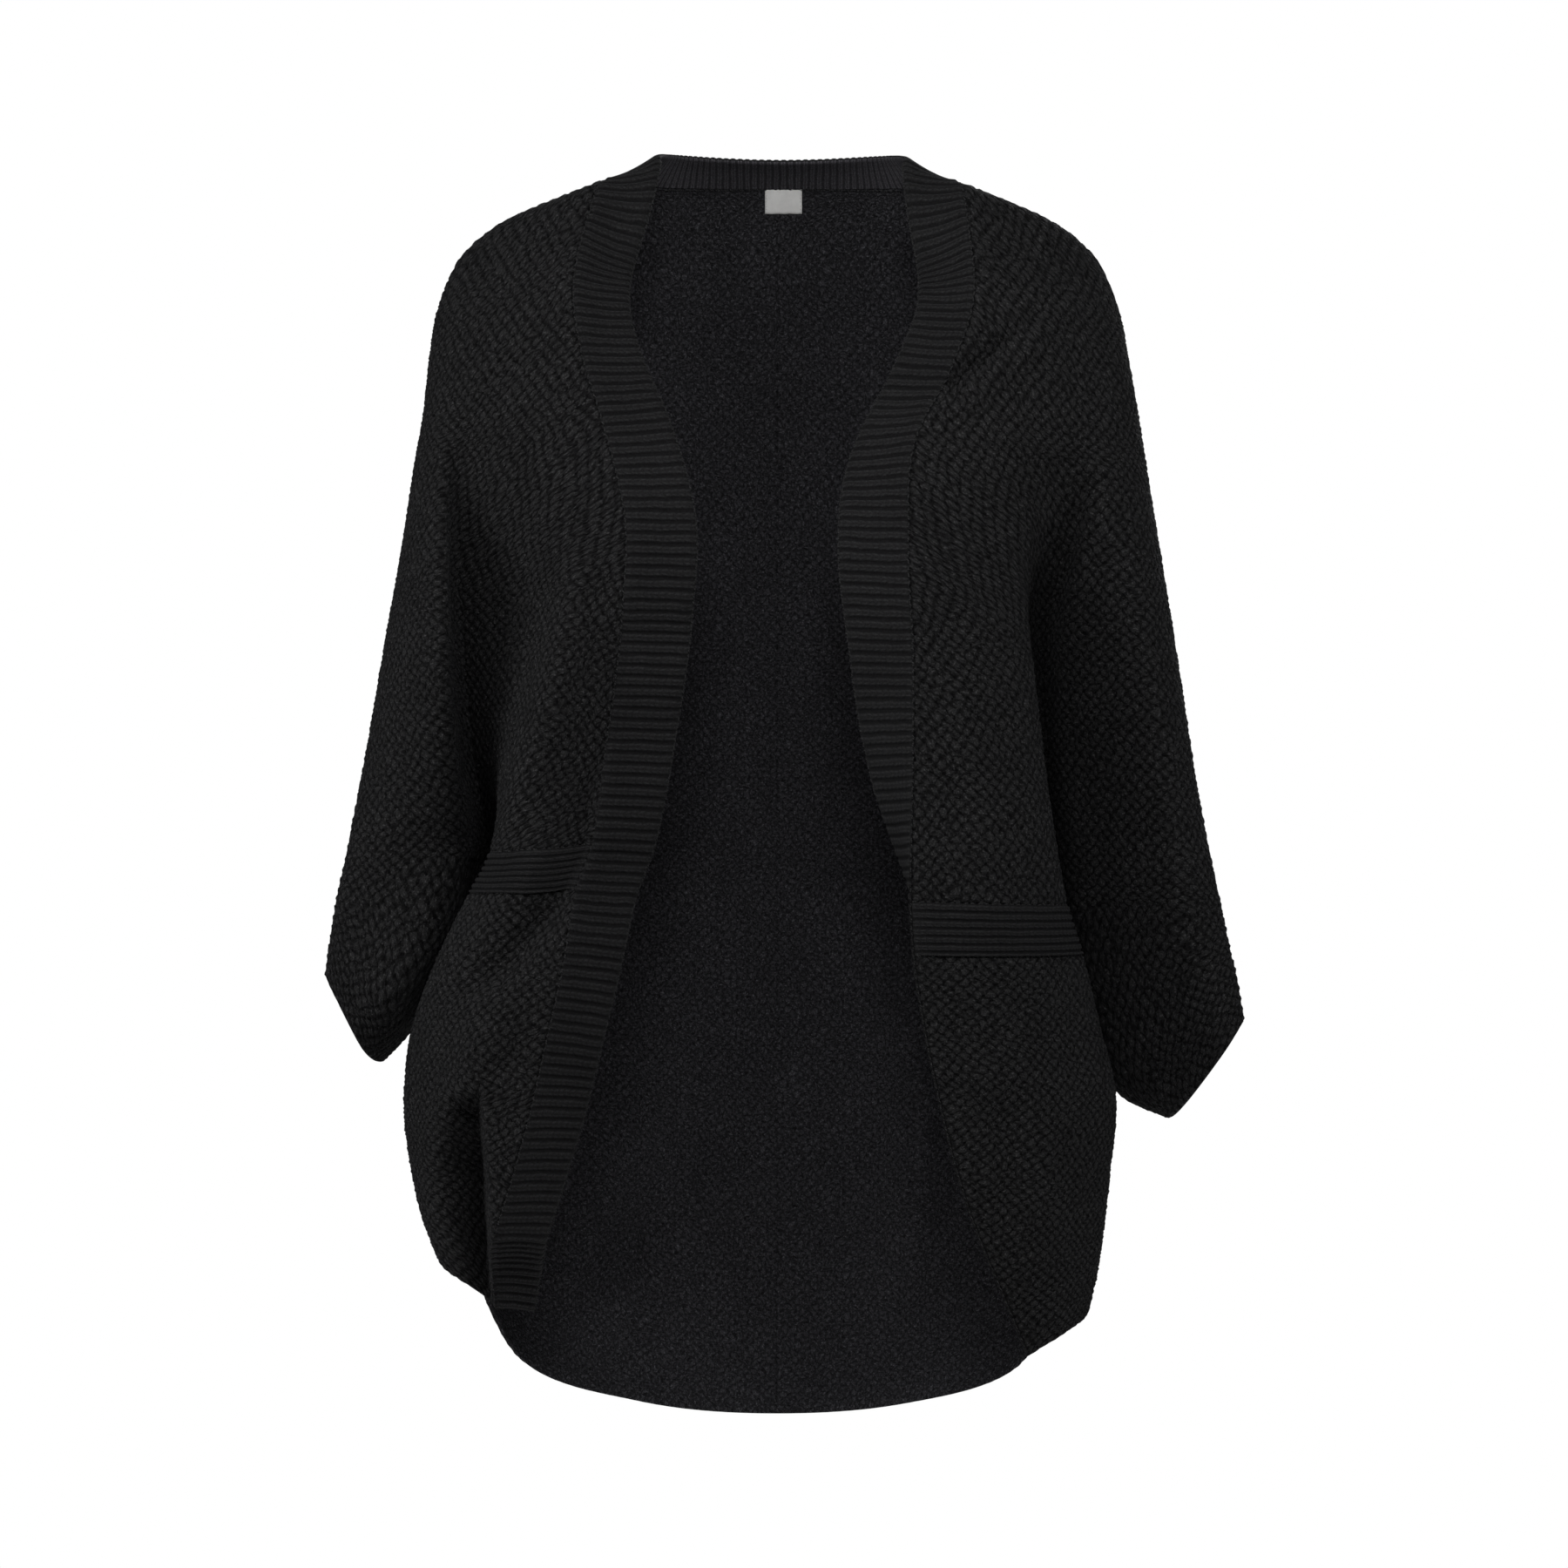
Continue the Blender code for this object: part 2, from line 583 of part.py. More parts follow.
def knit_wall(name, pieces, finish, collection):
    """Closed wall over several patches that share points: (grid, half, flip)."""
    number = {}
    outer = []
    inner = []
    faces = []
    for grid, half, flip in pieces:
        index = np.zeros(grid.shape[:2], int)
        for i in range(grid.shape[0]):
            for j in range(grid.shape[1]):
                key = tuple(np.round(grid[i, j], 2))
                if key not in number:
                    number[key] = len(outer)
                    outer.append(grid[i, j] + half[i, j])
                    inner.append(grid[i, j] - half[i, j])
                index[i, j] = number[key]
        for i in range(grid.shape[0] - 1):
            for j in range(grid.shape[1] - 1):
                quad = [index[i, j], index[i + 1, j], index[i + 1, j + 1], index[i, j + 1]]
                quad = list(dict.fromkeys(int(q) for q in (reversed(quad) if flip else quad)))
                if len(quad) > 2:
                    faces.append(quad)
    count = len(outer)
    used = {}
    for face in faces:
        for a, b in zip(face, face[1:] + face[:1]):
            used[(a, b)] = True
    rims = [[b, a, a + count, b + count] for a, b in used if (b, a) not in used]
    inside = [[v + count for v in reversed(face)] for face in faces]
    return closed(link(name, outer + inner, faces + inside + rims, finish, collection))


def closed(wall):
    """Turns a closed wall's faces outwards."""
    shape = bmesh.new()
    shape.from_mesh(wall.data)
    bmesh.ops.recalc_face_normals(shape, faces=shape.faces)
    shape.to_mesh(wall.data)
    shape.free()
    return wall


def ribbed_wall(name, outer, inner, finish, collection):
    """Closed wall of sections: ribs in the outer points over a plain inside."""
    ring = np.concatenate([outer, inner[:, ::-1]], axis=1)
    sections, around = ring.shape[:2]
    faces = [list(range(around)), [(sections - 1) * around + j for j in range(around)]]
    for i in range(sections - 1):
        for j in range(around):
            k = (j + 1) % around
            faces.append([i * around + j, (i + 1) * around + j, (i + 1) * around + k, i * around + k])
    return closed(link(name, list(ring.reshape(-1, 3)), faces, finish, collection))


def between(array, place):
    """Values at fractional places along an array's first axis."""
    i = np.clip(place.astype(int), 0, len(array) - 2)
    t = (place - i).reshape((-1,) + (1,) * (array.ndim - 1))
    return array[i] * (1 - t) + array[i + 1] * t


def cross_ribs(name, grid, half, pitch, finish, collection):
    """Band whose ribs run from its seam to its free edge."""
    run = np.concatenate([[0.0], np.cumsum(np.linalg.norm(np.diff(grid[:, 0], axis=0), axis=1))])
    count = 2 * int(run[-1] / pitch) + 1
    place = np.interp(np.linspace(0.0, run[-1], count), run, np.arange(len(run)))
    middle = between(grid, place)
    thick = between(half, place)
    raised = np.zeros((count, 3))
    raised[1::2] = (0.35, 1.0, 1.0)
    outer = middle + thick * (1 + raised[..., None] * RIB_HEIGHT / (WALL / 2))
    inner = (middle - thick)[:, [0, 2]]
    return ribbed_wall(name, outer, inner, finish, collection)


def course_ribs(name, grid, half, finish, collection):
    """Waist ribbing: courses that run round the body, between two rows of points."""
    count = 2 * WAIST_RIBS + 1
    middle = between(grid, np.linspace(0.0, 1.0, count)).transpose(1, 0, 2)
    thick = between(half, np.linspace(0.0, 1.0, count)).transpose(1, 0, 2)
    raised = np.zeros((middle.shape[0], count))
    raised[:, 1::2] = WAIST_RIB_HEIGHT
    outer = middle + thick * (1 + raised[..., None] / (WALL / 2))
    inner = (middle - thick)[:, [0, -1]]
    return ribbed_wall(name, outer, inner, finish, collection)


def side_patches(side):
    """Middle surfaces of all the pieces of a side, sharing points along the seams."""
    facing = SIDES[side]
    rib = panel(side, "body_front", (WAIST_ROW, LOWER_ROW), BODY_SHARES)
    hem_rows = (WAIST_ROW,) + LOWER_ROWS
    grids = {
        "body_front": panel(side, "body_front", UPPER_ROWS, BODY_SHARES),
        "sleeve_front": panel(side, "sleeve_front", UPPER_ROWS, SLEEVE_SHARES),
        "cuff_front": panel(side, "sleeve_front", CUFF_ROWS, SLEEVE_SHARES),
        "rib": rib,
        "lower_front": panel(side, "body_front", LOWER_ROWS, BODY_SHARES),
        "sleeve_back": panel(side, "sleeve_back", UPPER_ROWS, SLEEVE_SHARES),
        "cuff_back": panel(side, "sleeve_back", CUFF_ROWS, SLEEVE_SHARES),
        "body_back": panel(side, "body_back", UPPER_ROWS, BACK_SHARES),
        "hem_back": panel(side, "body_back", hem_rows, BACK_SHARES),
    }
    edge = np.concatenate([grids[n][:, 0] for n in ("body_front", "lower_front")])
    rows = np.array(UPPER_ROWS + LOWER_ROWS, float)
    grids["band"] = band_patch(side, rows, edge)
    return {
        (side, name): (grid, -facing if name == "band" else facing) for name, grid in grids.items()
    }


def all_patches():
    """Every middle surface of the garment, with the neckband between the sides."""
    patches = {}
    for side in SIDES:
        patches.update(side_patches(side))
    right = patches["right", "body_back"][0][0]
    left = patches["left", "body_back"][0][0]
    neck = np.concatenate([right, left[-2::-1]])
    ends = [patches[side, "band"][0][0] for side in SIDES]
    patches["neckband"] = (neckband_patch(neck, *ends), -1.0)
    return patches


def flatten_shoulder(patches, halves):
    """Cuts the walls straight down at the shoulder seam, a plane across the body."""
    for side in SIDES:
        for name in ("body_front", "sleeve_front", "sleeve_back"):
            grid = patches[side, name][0]
            along = np.gradient(grid[0], axis=0)
            upward = points(-along[:, 2], 0.0, along[:, 0])
            upward *= np.sign(upward[:, 2:3]) / np.linalg.norm(upward, axis=1, keepdims=True)
            halves[side, name][0] = upward * WALL / 2
    for key, row in ((("right", "band"), 0), (("left", "band"), 0), ("neckband", 0), ("neckband", -1)):
        level = halves[key][row] * (1.0, 0.0, 1.0)
        halves[key][row] = level / np.linalg.norm(level, axis=1, keepdims=True) * WALL / 2


def label_patch():
    """Middle surface of the label, hanging against the inside of the back."""
    columns = np.linspace(-0.5, 0.5, 5) * LABEL_SIZE[0] + LABEL_CENTRE_X
    rows = np.linspace(0.004, 0.057, 4)
    lines = []
    for x in columns:
        side = "left" if x >= 0 else "right"
        fine = panel(side, "body_back", rows, np.linspace(0.6, 1.0, 60))
        order = np.argsort(fine[0, :, 0])
        lines.append([[x, np.interp(x, r[order, 0], r[order, 1]), r[-1, 2]] for r in fine])
    grid = np.array(lines).transpose(1, 0, 2)
    normal = np.cross(np.gradient(grid, axis=0), np.gradient(grid, axis=1))
    normal /= np.linalg.norm(normal, axis=2, keepdims=True)
    normal *= -np.sign(normal[..., 1:2])
    return grid + normal * (WALL / 2 + SEAM_GAP + 0.35 + LABEL_THICKNESS / 2), normal * LABEL_THICKNESS / 2


def main():
    for obj in list(bpy.data.objects):
        bpy.data.objects.remove(obj, do_unlink=True)
    garment = bpy.data.collections.new("batwing_cardigan")
    bpy.context.scene.collection.children.link(garment)
    moss = material("moss_knit", YARN, 0.9)
    rib = material("rib_knit", RIB_YARN, 0.88)
    satin = material("label_satin", LABEL_WHITE, 0.55)

    patches = all_patches()
    halves = half_walls(patches)
    flatten_shoulder(patches, halves)

    def cut(key, *edges):
        grid = patches[key][0]
        for edge in edges:
            grid = draw_back(grid, halves[key], edge)
        return grid

    back = []
    for side in SIDES:
        flip = side == "right"
        sleeve = cut((side, "sleeve_back"), "shoulder", "back_outer")
        body = cut((side, "body_back"), "first_row")
        body[0, 0] = sleeve[0, -1]
        cuff = cut((side, "cuff_back"), "back_outer", "last_column")
        cuff[0] = sleeve[-1]
        hem = cut((side, "hem_back"), "first_column")
        hem[0] = body[-1]
        for name, grid in (("sleeve_back", sleeve), ("body_back", body), ("cuff_back", cuff), ("hem_back", hem)):
            back.append((grid, halves[side, name], flip))
    knit_wall("back", back, moss, garment)

    for side in SIDES:
        flip = side == "right"
        body = cut((side, "body_front"), "shoulder", "last_row", "first_column")
        body[-1, -1] = patches[side, "body_front"][0][-1, -1]
        sleeve = cut((side, "sleeve_front"), "shoulder", "front_outer")
        cuff = cut((side, "cuff_front"), "first_column", "front_outer")
        cuff[0] = sleeve[-1]
        knit_wall(f"front_{side}", [
            (body, halves[side, "body_front"], flip),
            (sleeve, halves[side, "sleeve_front"], flip),
            (cuff, halves[side, "cuff_front"], flip),
        ], moss, garment)
        edges = ("first_row", "last_row", "first_column", "last_column")
        course_ribs(f"waist_rib_{side}", cut((side, "rib"), *edges), halves[side, "rib"], rib, garment)
        lower = cut((side, "lower_front"), "first_row", "first_column", "last_column")
        knit_wall(f"lower_front_{side}", [(lower, halves[side, "lower_front"], flip)], moss, garment)
        band = cut((side, "band"), "shoulder", "first_column")
        cross_ribs(f"front_band_{side}", band, halves[side, "band"], RIB_PITCH, rib, garment)

    neck = cut("neckband", "first_row", "last_row", "first_column")
    cross_ribs("neckband", neck, halves["neckband"], NECK_RIB_PITCH, rib, garment)
    label, label_half = label_patch()
    knit_wall("neck_label", [(label, label_half, False)], satin, garment)


main()
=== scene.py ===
"""Open-front batwing cardigan in black chunky knit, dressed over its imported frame.

The frame gives the solids' place; the tables below repeat the maker's draft of the
garment, and each knitted piece is laid out on it stitch by stitch. +X is the wearer's
left, +Y the wearer's back, +Z up. Draft sizes are in millimetres, meshes in metres.
"""

from __future__ import annotations

import logging
import math
from dataclasses import dataclass, field
from enum import Enum
from typing import Any, Sequence

import bpy
import numpy as np
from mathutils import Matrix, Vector

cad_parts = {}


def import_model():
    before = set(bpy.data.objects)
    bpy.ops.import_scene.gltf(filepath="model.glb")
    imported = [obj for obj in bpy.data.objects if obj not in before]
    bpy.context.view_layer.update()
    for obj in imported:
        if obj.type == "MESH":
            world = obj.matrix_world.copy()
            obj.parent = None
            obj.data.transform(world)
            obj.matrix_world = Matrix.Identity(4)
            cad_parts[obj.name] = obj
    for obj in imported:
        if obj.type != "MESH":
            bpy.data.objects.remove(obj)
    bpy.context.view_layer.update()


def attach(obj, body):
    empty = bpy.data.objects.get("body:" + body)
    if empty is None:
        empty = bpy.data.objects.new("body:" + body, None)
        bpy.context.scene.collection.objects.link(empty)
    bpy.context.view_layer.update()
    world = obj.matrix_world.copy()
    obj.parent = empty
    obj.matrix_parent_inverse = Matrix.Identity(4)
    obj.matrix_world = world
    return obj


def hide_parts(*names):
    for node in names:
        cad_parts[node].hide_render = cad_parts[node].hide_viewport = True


Array = np.ndarray
Pair = tuple[float, float]
Triple = tuple[float, float, float]
Object, Material = bpy.types.Object, bpy.types.Material
Socket = bpy.types.NodeSocket

MM = 0.001
UV_NAME = "stitches"
OPEN_RIM = 0.6  # a rim thinner than this is an open edge, rounded off
SCATTER_KEYS = (127.1, 311.7, 74.7)  # unrelated numbers, for scatter() alone
SCATTER_GAIN = 43758.5453
log = logging.getLogger("cardigan")


class Side(Enum):
    """The wearer's side, with the sign of its X."""

    RIGHT = -1.0
    LEFT = 1.0

    @property
    def word(self) -> str:
        """Name of the side as the nodes spell it."""
        return self.name.lower()


class Stretch(Enum):
    """The four stretches of cloth that go round one side of the garment."""

    BODY_FRONT = "body front"
    SLEEVE_FRONT = "sleeve front"
    SLEEVE_BACK = "sleeve back"
    BODY_BACK = "body back"


class Edge(Enum):
    """How a stretch of cloth ends."""

    JOIN = "the cloth goes on in the next stretch"
    SEAM = "sewn, so the surface dips"
    FREE = "open edge, rounded off"


# -------------------- small helpers
def ease(value: Any, low: float, high: float) -> Array:
    """0 below low, 1 above high, and smooth between."""
    t = np.clip((np.asarray(value, float) - low) / (high - low), 0.0, 1.0)
    return t * t * (3 - 2 * t)


def mix(a: Any, b: Any, share: Any) -> Array:
    """Blend of two point arrays by one share for each point."""
    share = np.asarray(share)[..., None]
    return a * (1 - share) + b * share


def hermite(first: Any, last: Any, leaves: Any, arrives: Any, t: Any) -> Array:
    """Smooth way from one value to the next, with the slopes at both ends."""
    start = first * (1 + 2 * t) * (1 - t) ** 2 + leaves * t * (1 - t) ** 2
    return start + last * t * t * (3 - 2 * t) + arrives * t * t * (t - 1)


def points(x: Any, y: Any, z: Any) -> Array:
    """Point array from coordinates of any matching shapes."""
    return np.stack(np.broadcast_arrays(x, y, z), axis=-1).astype(float)


def unit(vectors: Array) -> Array:
    """Vectors at length one."""
    return vectors / np.maximum(np.linalg.norm(vectors, axis=-1, keepdims=True), 1e-9)


def arc_length(lines: Array) -> Array:
    """Distance along each row of points, from its first point."""
    steps = np.linalg.norm(np.diff(lines, axis=1), axis=2)
    return np.concatenate([np.zeros((len(lines), 1)), np.cumsum(steps, axis=1)], axis=1)


def follow(at: Array, run: Array, line: Array) -> Array:
    """Points of a line at places along it, where run is the place of each of its points."""
    return np.stack([np.interp(at, run, line[:, k]) for k in range(3)], axis=1)


def grid_normals(grid: Array) -> Array:
    """Direction across a grid of points at each of them."""
    return unit(np.cross(np.gradient(grid, axis=0), np.gradient(grid, axis=1)))


def rounded(distance: Array, reach: float) -> Array:
    """Quarter circle from 0 at an edge to 1 at some distance from it."""
    return np.sqrt(1 - (1 - np.clip(distance / reach, 0, 1)) ** 2)


def scatter(*places: Array) -> Array:
    """Fixed random number from 0 to 1 for each set of whole numbers."""
    total = sum(np.asarray(p, float) * k for p, k in zip(places, SCATTER_KEYS))
    return np.modf(np.abs(np.sin(total) * SCATTER_GAIN))[0]


# -------------------- the draft
@dataclass(frozen=True)
class Table:
    """Numbers down the garment, each column read on a smooth curve."""

    columns: tuple[str, ...]
    rows: tuple[tuple[float, ...], ...]

    def read(self, name: str, at: Any) -> Array:
        """Value of one column at any rows.

        Args:
            name: the column.
            at: places down the garment, as in the table's first column.

        Returns:
            One value for each place.
        """
        table = np.array(self.rows, float)
        x, y = table[:, 0], table[:, self.columns.index(name)]
        slope = np.gradient(y, x)
        at = np.clip(np.asarray(at, float), x[0], x[-1])
        i = np.clip(np.searchsorted(x, at, side="right") - 1, 0, len(x) - 2)
        step = x[i + 1] - x[i]
        return hermite(y[i], y[i + 1], slope[i] * step, slope[i + 1] * step, (at - x[i]) / step)


FRONT_COLUMNS = ("row", "seam_x", "seam_y", "seam_z", "turn", "rise", "outer_x", "outer_z")
FRONT = {
    Side.RIGHT: Table(FRONT_COLUMNS, (
        (0.000, 110, 2, 4, 0, 17, 208, -48),
        (0.035, 115, -22, -1, 4, 4, 214, -62),
        (0.085, 124, -48, -32, 12, -12, 220, -80),
        (0.170, 130, -77, -73, 20, -4, 225, -110),
        (0.270, 124, -96, -117, 18, 0, 229, -148),
        (0.370, 111, -108, -159, 14, 4, 235, -184),
        (0.500, 96, -120, -220, 8, 0, 243, -237),
        (0.660, 98, -124, -286, 10, -1, 254, -297),
        (0.830, 107, -124, -358, 18, -1, 266, -367),
        (1.000, 117, -122, -428, 30, -2, 280, -439),
        (1.100, 127, -121, -457, 32, -3, 286, -470),
        (1.240, 134, -119, -500, 38, -5, 292, -506),
        (1.410, 145, -116, -550, 41, -6, 0, 0),
        (1.560, 155, -112, -594, 41, -3, 0, 0),
        (1.710, 167, -107, -638, 39, -2, 0, 0),
        (1.850, 180, -100, -683, 36, -3, 0, 0),
        (2.000, 181, -88, -728, 52, -5, 0, 0),
    )),
    Side.LEFT: Table(FRONT_COLUMNS, (
        (0.000, 117, 2, 2, 0, 17, 209, -48),
        (0.035, 120, -22, -2, 4, 4, 215, -62),
        (0.085, 124, -48, -34, 12, -13, 222, -82),
        (0.170, 126, -77, -79, 22, 0, 228, -114),
        (0.270, 111, -96, -126, 26, 4, 235, -155),
        (0.370, 88, -108, -173, 24, -3, 241, -193),
        (0.500, 83, -120, -237, 12, 2, 251, -254),
        (0.660, 86, -124, -310, 28, 2, 262, -322),
        (0.830, 86, -124, -387, 56, -1, 274, -399),
        (1.000, 85, -121, -464, 94, 0, 289, -473),
        (1.100, 87, -120, -498, 100, 0, 296, -500),
        (1.240, 93, -118, -539, 104, 0, 303, -536),
        (1.410, 103, -115, -588, 106, 0, 0, 0),
        (1.560, 114, -110, -632, 106, 0, 0, 0),
        (1.710, 127, -103, -672, 106, 0, 0, 0),
        (1.850, 144, -93, -713, 104, 0, 0, 0),
        (2.000, 161, -80, -754, 100, 0, 0, 0),
    )),
}
BODY_COLUMNS = ("row", "side_x", "side_y", "valley_x", "valley_y", "valley_z", "back_valley_y")
BODY = {
    Side.RIGHT: Table(BODY_COLUMNS, (
        (0.370, 168, -88, 203, -56, -172, 84),
        (0.500, 166, -82, 203, -60, -230, 78),
        (0.660, 165, -78, 202, -46, -292, 66),
        (0.830, 168, -78, 198, -13, -364, 50),
        (1.000, 181, -70, 190, 31, -437, 31),
        (1.100, 195, -60, 193, 30, -462, 30),
        (1.240, 217, -48, 205, 28, -505, 28),
        (1.410, 235, -32, 220, 27, -553, 27),
        (1.560, 240, -26, 226, 26, -597, 26),
        (1.710, 237, -24, 224, 25, -628, 25),
        (1.850, 230, -24, 218, 24, -656, 24),
        (2.000, 218, -24, 208, 22, -684, 22),
    )),
    Side.LEFT: Table(BODY_COLUMNS, (
        (0.370, 142, -92, 182, -56, -182, 84),
        (0.500, 150, -88, 176, -24, -246, 78),
        (0.660, 160, -82, 175, 6, -316, 66),
        (0.830, 170, -74, 179, 26, -393, 50),
        (1.000, 184, -60, 184, 31, -470, 31),
        (1.100, 194, -52, 186, 30, -501, 30),
        (1.240, 205, -42, 194, 28, -546, 28),
        (1.410, 217, -32, 204, 27, -597, 27),
        (1.560, 214, -28, 203, 26, -640, 26),
        (1.710, 210, -26, 200, 25, -680, 25),
        (1.850, 206, -26, 196, 24, -704, 24),
        (2.000, 200, -26, 190, 22, -722, 22),
    )),
}
DEPTHS = Table(("row", "sleeve_depth", "outer_y", "back_y", "back_z"), (
    (0.000, 0, 2, 78, 6),
    (0.035, 22, 2, 84, -12),
    (0.085, 42, 2, 92, -34),
    (0.170, 54, 2, 101, -74),
    (0.270, 61, 2, 107, -122),
    (0.370, 64, 2, 110, -170),
    (0.500, 62, 1, 110, -234),
    (0.660, 58, 0, 106, -306),
    (0.830, 53, -2, 101, -384),
    (1.000, 46, -4, 102, -458),
    (1.100, 43, -5, 106, -496),
    (1.240, 37, -7, 114, -548),
    (1.410, 34, -8, 121, -608),
    (1.560, 34, -8, 124, -662),
    (1.710, 34, -8, 122, -714),
    (1.850, 34, -8, 114, -765),
    (2.000, 34, -8, 102, -815),
))
SLEEVE_COLUMNS = ("row", "inner_x", "inner_y", "inner_z", "outer_x", "outer_z")
SLEEVE = {
    Side.RIGHT: Table(SLEEVE_COLUMNS, (
        (1.000, 190, 31, -437, 280, -439),
        (1.100, 208, 47, -497, 286, -466),
        (1.200, 244, 49, -552, 290, -492),
        (1.300, 263, 36, -573, 293, -516),
    )),
    Side.LEFT: Table(SLEEVE_COLUMNS, (
        (1.000, 184, 31, -470, 289, -473),
        (1.100, 200, 48, -532, 294, -497),
        (1.200, 224, 50, -590, 299, -519),
        (1.300, 260, 36, -610, 303, -545),
    )),
}


@dataclass(frozen=True)
class Fold:
    """Line in the front view along which the cloth sinks or stands out.

    A knot is x, z, half width, and how far the cloth sinks. A lip makes the fold steep on
    the side nearer the centre. The fold is at its full depth where the cloth lies in front
    of full_y, and is left out where it lies behind ends_y. On the back both turn round.
    """

    knots: tuple[tuple[float, float, float, float], ...]
    lip: float = 1.0
    full_y: float = -45.0
    ends_y: float = 0.0


FOLDS = {
    Side.RIGHT: (
        Fold(((86, -262, 14, 0), (93, -305, 30, 15), (105, -345, 34, 22), (117, -385, 36, 25),
              (123, -432, 36, 24), (140, -466, 32, 20), (172, -507, 26, 15),
              (208, -535, 16, 0)), lip=0.62),
        Fold(((122, -232, 16, 0), (127, -265, 18, -9), (136, -305, 20, -14), (149, -345, 20, -16),
              (161, -382, 20, -15), (176, -425, 18, -9), (190, -455, 14, 0))),
        Fold(((150, -515, 20, 0), (190, -560, 22, -8), (212, -600, 20, -5), (222, -650, 18, 0))),
        Fold(((188, -578, 16, 0), (189, -602, 30, 28), (188, -640, 40, 50), (186, -690, 42, 54),
              (182, -745, 40, 52)), lip=0.2, full_y=-24.0, ends_y=26.0),
    ),
    Side.LEFT: (
        Fold(((85, -162, 10, 0), (104, -144, 11, 7), (135, -116, 11, 7), (165, -90, 10, 4),
              (182, -76, 8, 0))),
        Fold(((110, -165, 12, 0), (128, -138, 12, -4), (160, -112, 12, -3), (182, -96, 8, 0))),
        Fold(((100, -330, 16, 0), (112, -400, 20, 4), (118, -455, 14, 0))),
        Fold(((128, -560, 20, 0), (145, -610, 24, 7), (160, -660, 20, 0))),
    ),
}
BACK_FOLDS = {
    Side.RIGHT: (
        Fold(((52, -262, 18, 0), (92, -236, 22, 10), (140, -214, 21, 13), (186, -206, 15, 0))),
        Fold(((60, -318, 20, 0), (108, -346, 25, 14), (152, -390, 24, 17), (182, -432, 14, 0))),
        Fold(((50, -590, 26, 0), (72, -650, 36, -13), (106, -708, 32, -12), (126, -752, 20, 0))),
        Fold(((150, -500, 20, 0), (162, -570, 25, 13), (150, -650, 22, 0))),
    ),
    Side.LEFT: (
        Fold(((66, -236, 18, 0), (104, -222, 21, 9), (150, -216, 20, 12), (180, -214, 14, 0))),
        Fold(((42, -340, 20, 0), (92, -368, 24, 13), (140, -412, 24, 16), (172, -458, 14, 0))),
        Fold(((78, -520, 22, 0), (98, -600, 28, 11), (92, -690, 25, 9), (78, -748, 20, 0))),
    ),
}


